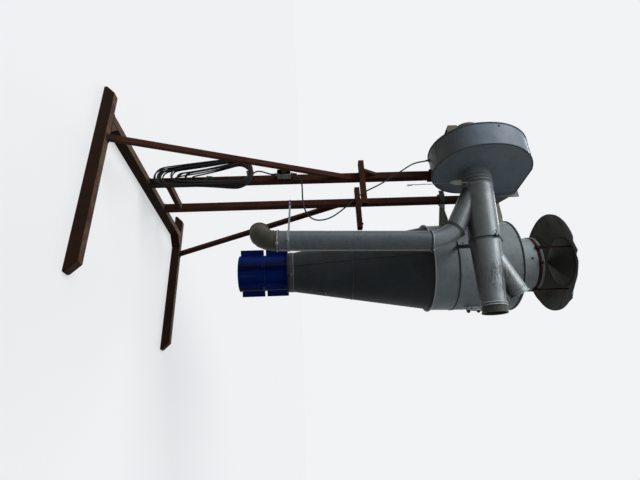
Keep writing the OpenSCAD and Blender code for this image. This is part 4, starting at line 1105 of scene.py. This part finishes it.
def ductDetails():
    lapLine("ductLap", alongDuct, 0.1208, 148, (0.157, 0.38, 0.600), 0.0030)
    lapLine("taperLap", alongDuct, lambda t: taperR(t) + 0.0004, 232, (0.617, 0.8, 1.0, 1.110), 0.0026)
    beadOn("jointEdgeA", 0.1235, 0.0016, alongDuct, 0.6005, "zinc")
    beadOn("jointEdgeB", 0.1235, 0.0016, alongDuct, 0.6175, "zinc")
    lug = alongDuct @ turned(duct["clasp"], "Z")
    drawn("jointHook", [lug @ Vector(point) for point in duct["hook"]], 0.0042, "dark")
    built("jointEars", "dark", lug, *(((0.026, 0.005, 0.018), (-0.133, y, 0.609), 0.001) for y in (-0.011, 0.011)))
    fastened("jointBolt", "middle", through(lug @ moved(-0.138, 0, 0.609), 0.0135))
    fastened("jointRivets", "rivet", [outward(alongDuct, 30 * k + 12, 0.1198, 0.585) for k in range(12)], "duct")
    for name, r, t in (("collarRib1", 0.1120, 0.064), ("collarRib2", 0.1160, 0.097), ("collarRib3", 0.1196, 0.126)):
        beadOn(name, r, 0.0050, alongDuct, t, "zinc")
    # Painted shade: dark rings in the grooves between the collar's ribs
    for name, r, t in (("collarGrooveShade1", 0.1128, 0.0705), ("collarGrooveShade2", 0.1196, 0.1045),
                       ("collarGrooveShade3", 0.1196, 0.1325)):
        beadOn(name, r, 0.0026, alongDuct, t, "dark")
    fastened("collarRivets", "rivet", [outward(alongDuct, 24 * k + 5, 0.1198, 0.140) for k in range(15)], "fan")
    beadOn("collarEdge", 0.1200, 0.0024, alongDuct, 0.1535, "bright")
    beadOn("mouthRingA", 0.0965, 0.0046, alongDuct, 1.1065, "bright", 84)
    beadOn("mouthRingB", 0.0965, 0.0046, alongDuct, 1.1240, "bright", 84)
    beadOn("branchLip", 0.0825, 0.0042, branchFrame, 0.4310, "bright", 72)
    beadOn("branchBand", 0.0805, 0.0026, branchFrame, 0.395, "duct", 72)
    drawn("branchWeld", meeting(branchFrame, duct["branchR"]), 0.0036, "duct", 60, closed=True, wobble=0.25, sides=1)
    stub = meeting(stubFrame @ moved(0, 0, -duct["stubLong"]), duct["stubR"])
    drawn("stubWeld", stub, 0.0034, "duct", 60, closed=True, wobble=0.25, sides=1)
    lapLine("stubLap", stubFrame, 0.0757, 250, (-0.012, -0.07, -0.135), 0.0022)
    fastened("bendRingBolt", "small", [outward(bendFrame, a, 0.083, 0) for a in (200, 20)], "dark")
    edges = [bead("edge", 0.0815, 0.0018, bendFrame @ moved(0, 0, z), 64) for z in (-0.0085, 0.0085)]
    finished(joined("bendRingEdges", edges), "zinc")
    print("suction duct ready")


def elbowRing(base, degrees, radius, count, shift=0.0):
    place = swung(base, degrees, duct["elbowR"], shift, 0) @ turned(90, "X")
    return [place @ polar(radius, 360 * k / count) for k in range(count)]


def dropDetails():
    top, base = downLen + duct["downBead"], downFrame
    # Painted highlight: a bright bead at the top of the down duct, over a band of painted shade
    beadOn("downBead", 0.0820, 0.0050, base, top - 0.008, "bright", 72)
    bandOn("downShade", 0.0800, 0.0020, top - 0.0240, top - 0.0170, base, "dark", 72)
    lug = swung(base, duct["downLug"], 0.094, 0, top - 0.010)
    built("downLug", "dark", lug, ((0.020, 0.016, 0.020), (0, 0, 0), 0.002))
    fastened("downLugBolt", "small", [lug @ moved(0.002, -0.008, 0) @ turned(90, "X")])
    heights = (0.002, 0.4, 0.8, top - 0.018)
    lapLine("downLap", base, 0.0806, -22, heights, 0.0024, "down")
    lapLine("downLapBack", base, 0.0803, 170, heights, 0.0022, "down")
    beadOn("footRing", 0.0826, 0.0040, base, -0.0065, "bright", 72)
    beadOn("footRingLow", 0.0836, 0.0028, base, 0.0015, "elbow", 72)
    lug = swung(base, duct["footLug"], 0.094, 0, -0.006)
    built("footLug", "zinc", lug, ((0.022, 0.016, 0.022), (0, 0, 0), 0.002))
    fastened("footLugBolt", "small", through(lug @ moved(0.002, 0, 0), 0.008))
    elbow = swung(base @ moved(0, 0, -0.0003), duct["elbowFace"] + 180 - plan["turn"], -duct["elbowR"], 0, 0) \
        @ turned(90, "X")
    gores = [tube("gore", elbowRing(elbow, a, 0.0804, 48), 0.0018, closed=True, sides=1) for a in duct["gores"]]
    finished(joined("elbowSeams", gores), "elbow", 40)
    drawn("elbowLip", elbowRing(elbow, -90, 0.0826, 56, -0.018), 0.0032, "elbow", 40, closed=True)
    print("drop duct ready")


# Clamps and brackets that carry the vertical duct, the main duct and the cyclone
bracket = {"clampZ": 1.2230, "clampLug": -70, "ductZ": 2.680, "ductEnd": (0.645, -0.025), "wallEnd": (0.499, 0.692),
           "armZ": 2.631, "armX": 0.0383}


def clampDetails():
    z = bracket["clampZ"]
    back = (downTop - z) * math.tan(math.radians(plan["lean"]))
    turn = math.radians(plan["turn"])
    at = downPoint.translation
    centre = moved(at.x - back * math.cos(turn), at.y - back * math.sin(turn), z)
    beadOn("clampRingEdge", 0.0836, 0.0030, centre, 0.0075, "zinc", 64)
    lug = swung(centre, bracket["clampLug"], 0.094, 0, 0)
    built("clampLug", "zinc", lug, ((0.024, 0.014, 0.016), (0, 0, 0), 0.002))
    fastened("clampLugBolt", "small", through(lug @ moved(0.002, 0, 0), 0.007))
    fastened("clampPostBolts", "middle", [moved(x, 0.2853, z) @ turned(90, "X") for x in (-0.018, 0.016)], "dark")


def bracketDetails():
    z, (wallX, wallY) = bracket["ductZ"], bracket["wallEnd"]
    a, b = Vector((*bracket["ductEnd"], z)), Vector((wallX, wallY - barrelR(z), z))
    way = (b - a).normalized()
    spots = [a + way * 0.030, a + way * 0.055, b - way * 0.030]
    fastened("bracketBolts", "middle", [Matrix.Translation(spot + Vector((0, 0, 0.006))) for spot in spots], "dark")
    fastened("bracketNuts", "middle", [Matrix.Translation(spot) @ turned(180, "X") for spot in spots], "dark")
    x0, y0, z0 = bracket["armX"], plan["postY"][1], bracket["armZ"]
    run = Vector((plan["cyclone"][0] - x0, plan["cyclone"][1] - y0))
    arm = swung(moved(x0, y0, z0), math.degrees(math.atan2(run.y, run.x)), 0, 0, 0)
    length = run.length - barrelR(z0)
    fastened("armBolts", "middle", [arm @ moved(x, -0.004, up) @ turned(90, "X") for x, up in
                                    ((0.030, 0), (length - 0.022, 0.050), (length - 0.030, 0.002))])
    built("armEndPlate", "bright", arm, ((0.030, 0.005, 0.044), (0.016, -0.0062, 0.002), 0.0015))
    built("armFoot", "olive", arm, ((0.004, 0.066, 0.110), (length + 0.004, 0, 0.022), 0.001))
    side = plan["post"] / 2 + 0.0205
    fastened("clampBolts", "middle", [moved(-side, y0 + y, z0 + up) @ turned(-90, "Y")
                                      for y in (-0.020, 0.020) for up in (-0.012, 0.012)], "dark")
    built("clampEars", "dark", moved(-0.062, y0, z0),
          *(((0.046, 0.007, 0.046), (0, y, 0), 0.0015) for y in (-0.0345, 0.0345)))
    fastened("clampEarBolts", "large", through(moved(-0.068, y0, z0), 0.038), "dark")


ductDetails()
dropDetails()
clampDetails()
bracketDetails()
print("brackets ready")


# Skid frame: welds, arm bolts and end caps
skid = {"half": 1.815 / 2, "top": 0.0800, "ends": (-0.2338, 1.1538), "tieY": (-0.0545, 0.2915), "tieZ": (0.2, 0.24),
        "armZ": (1.8195, 1.8655), "braceX": (0.160, 0.212), "braceWide": 0.042}


def weldLine(corners, step=0.006):
    points = []
    for first, second in zip(corners, corners[1:]):
        first, second = Vector(first), Vector(second)
        count = max(2, int((second - first).length / step))
        points += [first.lerp(second, k / count) for k in range(count)]
    return points + [Vector(corners[-1])]


def ringWeld(name, corners, thick, paint="steel"):
    drawn(name, weldLine(corners), thick, paint, 60, wobble=0.28, sides=1)


# The corners round a rectangle, back to the first one
def around(x0, x1, y0, y1, corner):
    return [corner(x, y) for x, y in ((x0, y0), (x1, y0), (x1, y1), (x0, y1), (x0, y0))]


def frameDetails():
    half, top = plan["post"] / 2, skid["top"]
    bolt = [(0.0, 0.0), (0.013, 0.0), (0.013, 0.003), (0.0085, 0.0032), (0.0085, 0.009), (0.007, 0.011), (0.0, 0.011)]
    for label, y in zip(("near", "far"), plan["postY"]):
        front = y - half
        ringWeld(label + "PostWeld", around(-half, half, front, y + half, lambda x, b: (x, b, top + 0.0005)), 0.0042)
        for letter, z in zip("AB", skid["armZ"]):
            ringWeld(label + "ArmWeld" + letter, [(-half, front, z), (half, front, z)], 0.0038, "primer")
        ringWeld(label + "ArmSideWeld", [(-half - 0.0005, front, z) for z in skid["armZ"]], 0.0036, "primer")
        finished(spun(label + "ArmBolt", bolt, moved(0.255, front - 0.030, 1.8650), 24), "dark")
    for label, y in zip(("near", "far"), skid["tieY"]):
        ringWeld(label + "TieWeld", around(-half, half, *skid["tieZ"], lambda x, z: (x, y, z)), 0.0034)
    side = skid["half"] - 0.030
    for label, s in (("near", -1), ("far", 1)):
        y = s * (side - 0.0005)
        ringWeld(label + "BeamWeld", [(-half, y, 0.001), (-half, y, top), (half, y, top), (half, y, 0.001)], 0.0040)
        ringWeld(label + "GussetWeld", [(half + 0.004, y, top), (half + 0.088, y, top)], 0.0036)
        ringWeld(label + "GussetBeamWeld", [(half, s * (side - 0.006), top), (half, s * (side - 0.088), top)], 0.0036)
    for label, s, post in (("near", -1, plan["postY"][0]), ("far", 1, plan["postY"][1])):
        low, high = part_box(label + "_brace")
        y0, y1 = (low[1], low[1] + skid["braceWide"]) if s < 0 else (high[1] - skid["braceWide"], high[1])
        ringWeld(label + "BraceFootWeld", around(*skid["braceX"], y0, y1, lambda x, y: (x, y, top + 0.0006)), 0.0036)
        face = post + s * half
        ringWeld(label + "BraceHeadWeld", [(-0.021, face, 1.600), (-0.018, face, 1.712)], 0.0036)
        ringWeld(label + "BraceHeadWeldB", [(0.021, face, 1.600), (0.019, face, 1.712)], 0.0036)
    built("skidEndPlates", "steel", Matrix(), *(((0.003, 0.056, 0.016), (x, y, 0.0105), 0.001)
                                                for y in (-skid["half"], skid["half"]) for x in skid["ends"]))


frameDetails()
print("skid frame ready")


# Outlet sleeve: flange bolts, rims, fin lips and mould lines
sleeve = {"top": 1.184, "high": 0.453, "r": 0.165, "finR": 0.220, "fins": 6, "first": -88, "lines": 12}


def sleeveDetails():
    base, top, r = cycloneFrame, sleeve["top"], sleeve["r"]
    foot = top - sleeve["high"]
    beadOn("sleeveFoot", r + 0.0004, 0.0040, base, foot + 0.005, "blue")
    beadOn("sleeveWaist", r + 0.0004, 0.0034, base, foot + 0.239, "blue")
    bandOn("sleeveTopRim", 0.190, 0.0032, top - 0.010, top - 0.0003, base, "blue")
    ringBolts("sleeveBolts", "small", 0.1885, 6, top + 0.0002, -58, paint="dark")
    rows = []
    for k in range(sleeve["fins"]):
        fin = base @ turned(sleeve["first"] + 60 * k, "Z")
        for z0, z1 in ((foot + 0.016, foot + 0.229), (foot + 0.249, top - 0.002)):
            middle, high = (z0 + z1) / 2, z1 - z0
            rows += [((0.004, 0.0030, high - 0.010), fin @ moved(sleeve["finR"] - 0.0045, y, middle), 0.0010)
                     for y in (-0.0115, 0.0115)]
            rows.append(((0.010, 0.030, high - 0.006), fin @ moved(r + 0.001, 0, middle), 0.003, 2))
    built("sleeveRibs", "blue", Matrix(), *rows)
    step = 360 / sleeve["lines"]
    lines = [tube("line", [base @ polar(r + 0.0002, step * k + 17, z) for z in (foot + 0.012, top - 0.012)], 0.0012,
                  sides=1) for k in range(sleeve["lines"])]
    finished(joined("sleeveMouldLines", lines), "blue", 40)
    print("sleeve ready")


# Switch box: lid, seam, screws, glands, hangers and the knob's ridges
switch = {"middle": (-0.010, -0.150, 1.195), "size": (0.050, 0.070, 0.110), "ridges": 12}


def switchDetails():
    (x, y, z), (w, d, h) = switch["middle"], switch["size"]
    front = moved(x, y - d / 2, z)
    built("boxLid", "grey", front, ((w + 0.003, 0.016, h + 0.003), (0, 0.008, 0), 0.0035, 3))
    built("boxSeam", "dark", front, ((w + 0.0012, 0.0018, h + 0.0012), (0, 0.0175, 0), 0.0006))
    fastened("boxScrews", "rivet", [front @ moved(a * (w / 2 - 0.007), -0.0002, b * (h / 2 - 0.007)) @ turned(90, "X")
                                    for a in (-1, 1) for b in (-1, 1)], "dark")
    for name, way in (("boxTopGland", 1), ("boxFootGland", -1)):
        foot = z + way * h / 2
        glandNut(name, (x, y, foot + way * 0.002), (0, 0, way), 0.025)
        beadOn(name + "Ring", 0.0098, 0.0022, moved(x, y, foot), way * 0.0150, "dark", 28)
    knob = front @ moved(0, -0.0158, 0)
    built("knobRidges", "rubber", knob, *(((0.0022, 0.012, 0.0045), turned(360 / switch["ridges"] * k, "Y")
                                           @ moved(0, 0, 0.0192), 0.0006) for k in range(switch["ridges"])))
    built("knobPointer", "pale", knob, ((0.0022, 0.0012, 0.014), (0, -0.0130, 0.009), 0.0004), slot="grey_plastic")
    built("boxHanger", "steel", moved(x, -0.1172, z), *(((0.024, 0.004, 0.020), (0, 0, s * (h / 2 + 0.006)), 0.001)
                                                        for s in (-1, 1)))


# Pull tag: eyelet, bolt and border
def tagDetails():
    place = ductFrame @ moved(pull["t"], -pull["tagY"] - pull["thick"], 0) @ turned(90, "X")
    finished(bead("tagEyelet", 0.0042, 0.0014, place @ moved(0, 0.010 - pull["long"], -0.0014), 20), "dark")
    fastened("tagBolt", "rivet", [place @ moved(0, -0.096, 0)], "dark")
    rim = [(-0.0205, -0.166), (0.0205, -0.166), (0.0195, -0.211), (0.006, -0.2465), (-0.006, -0.2465),
           (-0.0195, -0.211)]
    drawn("tagBorder", [place @ Vector((x, y, 0.0002)) for x, y in rim], 0.0010, "zinc", 40, closed=True, sides=1)


# Hook of the hung cable
def hookDetails():
    beadOn("hookCollar", 0.0068, 0.0022, moved(-0.018, -0.1185, 0.8945) @ turned(90, "X"), 0, "steel", 24)


sleeveDetails()
switchDetails()
tagDetails()
hookDetails()
print("small fittings ready")


# Stage: a pale floor that keeps the shadow, and soft light from the upper left
stage = {"floor": (0.84, 0.85, 0.86), "glow": (0.90, 0.91, 0.93), "shade": (0.085, 0.083, 0.080), "evenness": 0.60,
         "sky": (0.90, 0.95, 1.0), "skyStrength": 0.22, "back": (0.885, 0.895, 0.912),
         "rays": ("Is Camera Ray", "Is Glossy Ray", "Is Transmission Ray"),
         "lamps": [("key", (-3.6, -4.6, 6.8), 2.25, 0.75, (1.0, 0.99, 0.97)),
                   ("side", (-5.0, -3.4, 1.5), 0.75, 0.9, (0.95, 0.98, 1.0)),
                   ("back", (-3.4, 5.6, 4.6), 1.0, 0.6, (0.94, 0.97, 1.0))]}


# Camera, glossy and transmission rays see the pale floor, all others a dark one
def buildFloor():
    clearPick()
    bpy.ops.mesh.primitive_plane_add(size=160, location=(0, 0, -0.001))
    floor = bpy.context.object
    floor.name = "floor"
    ground = Paint("floorPale")
    ground.set(Base_Color=stage["floor"], Roughness=1.0, Specular_IOR_Level=0.0)
    lit = Wire(ground, ground.shader.outputs[0])
    glow = ground.node("ShaderNodeEmission", None, {"Color": stage["glow"]})
    shade = ground.node("ShaderNodeBsdfDiffuse", None, {"Color": stage["shade"]})
    even = ground.node("ShaderNodeMixShader", None, {0: stage["evenness"], 1: lit, 2: glow})
    camera, glossy, clear = (ground.node("ShaderNodeLightPath", out=name) for name in stage["rays"])
    choose = ground.node("ShaderNodeMixShader", None, {0: (camera + glossy + clear).clamp(), 1: shade, 2: even})
    ground.tree.links.new(choose.socket, ground.tree.nodes["Material Output"].inputs[0])
    floor.data.materials.append(ground.material)


def buildLight():
    world = bpy.data.worlds.new("backdrop")
    scene.world = world
    world.use_nodes = True
    nodes, link = world.node_tree.nodes, world.node_tree.links.new
    sky = nodes["Background"]
    sky.inputs["Color"].default_value = (*stage["sky"], 1)
    sky.inputs["Strength"].default_value = stage["skyStrength"]
    pale = nodes.new("ShaderNodeBackground")
    pale.inputs["Color"].default_value = (*stage["back"], 1)
    path = nodes.new("ShaderNodeLightPath")
    total = path.outputs[stage["rays"][0]]
    for name in stage["rays"][1:]:
        most = nodes.new("ShaderNodeMath")
        most.operation = "MAXIMUM"
        link(total, most.inputs[0])
        link(path.outputs[name], most.inputs[1])
        total = most.outputs[0]
    choose = nodes.new("ShaderNodeMixShader")
    for socket, source in zip(choose.inputs, (total, sky.outputs[0], pale.outputs[0])):
        link(source, socket)
    link(choose.outputs[0], nodes["World Output"].inputs[0])
    for name, place, power, soft, tint in stage["lamps"]:
        lamp = bpy.data.lights.new(name, "SUN")
        lamp.energy = power
        lamp.angle = soft
        lamp.color = tint
        shown = bpy.data.objects.new(name, lamp)
        scene.collection.objects.link(shown)
        shown.location = place
        shown.rotation_euler = (-Vector(place)).to_track_quat("-Z", "Y").to_euler()


for seed in seeds.values():
    bpy.data.objects.remove(seed)
buildFloor()
buildLight()
scene.view_settings.view_transform = "Standard"
print("stage ready")

bpy.context.view_layer.update()
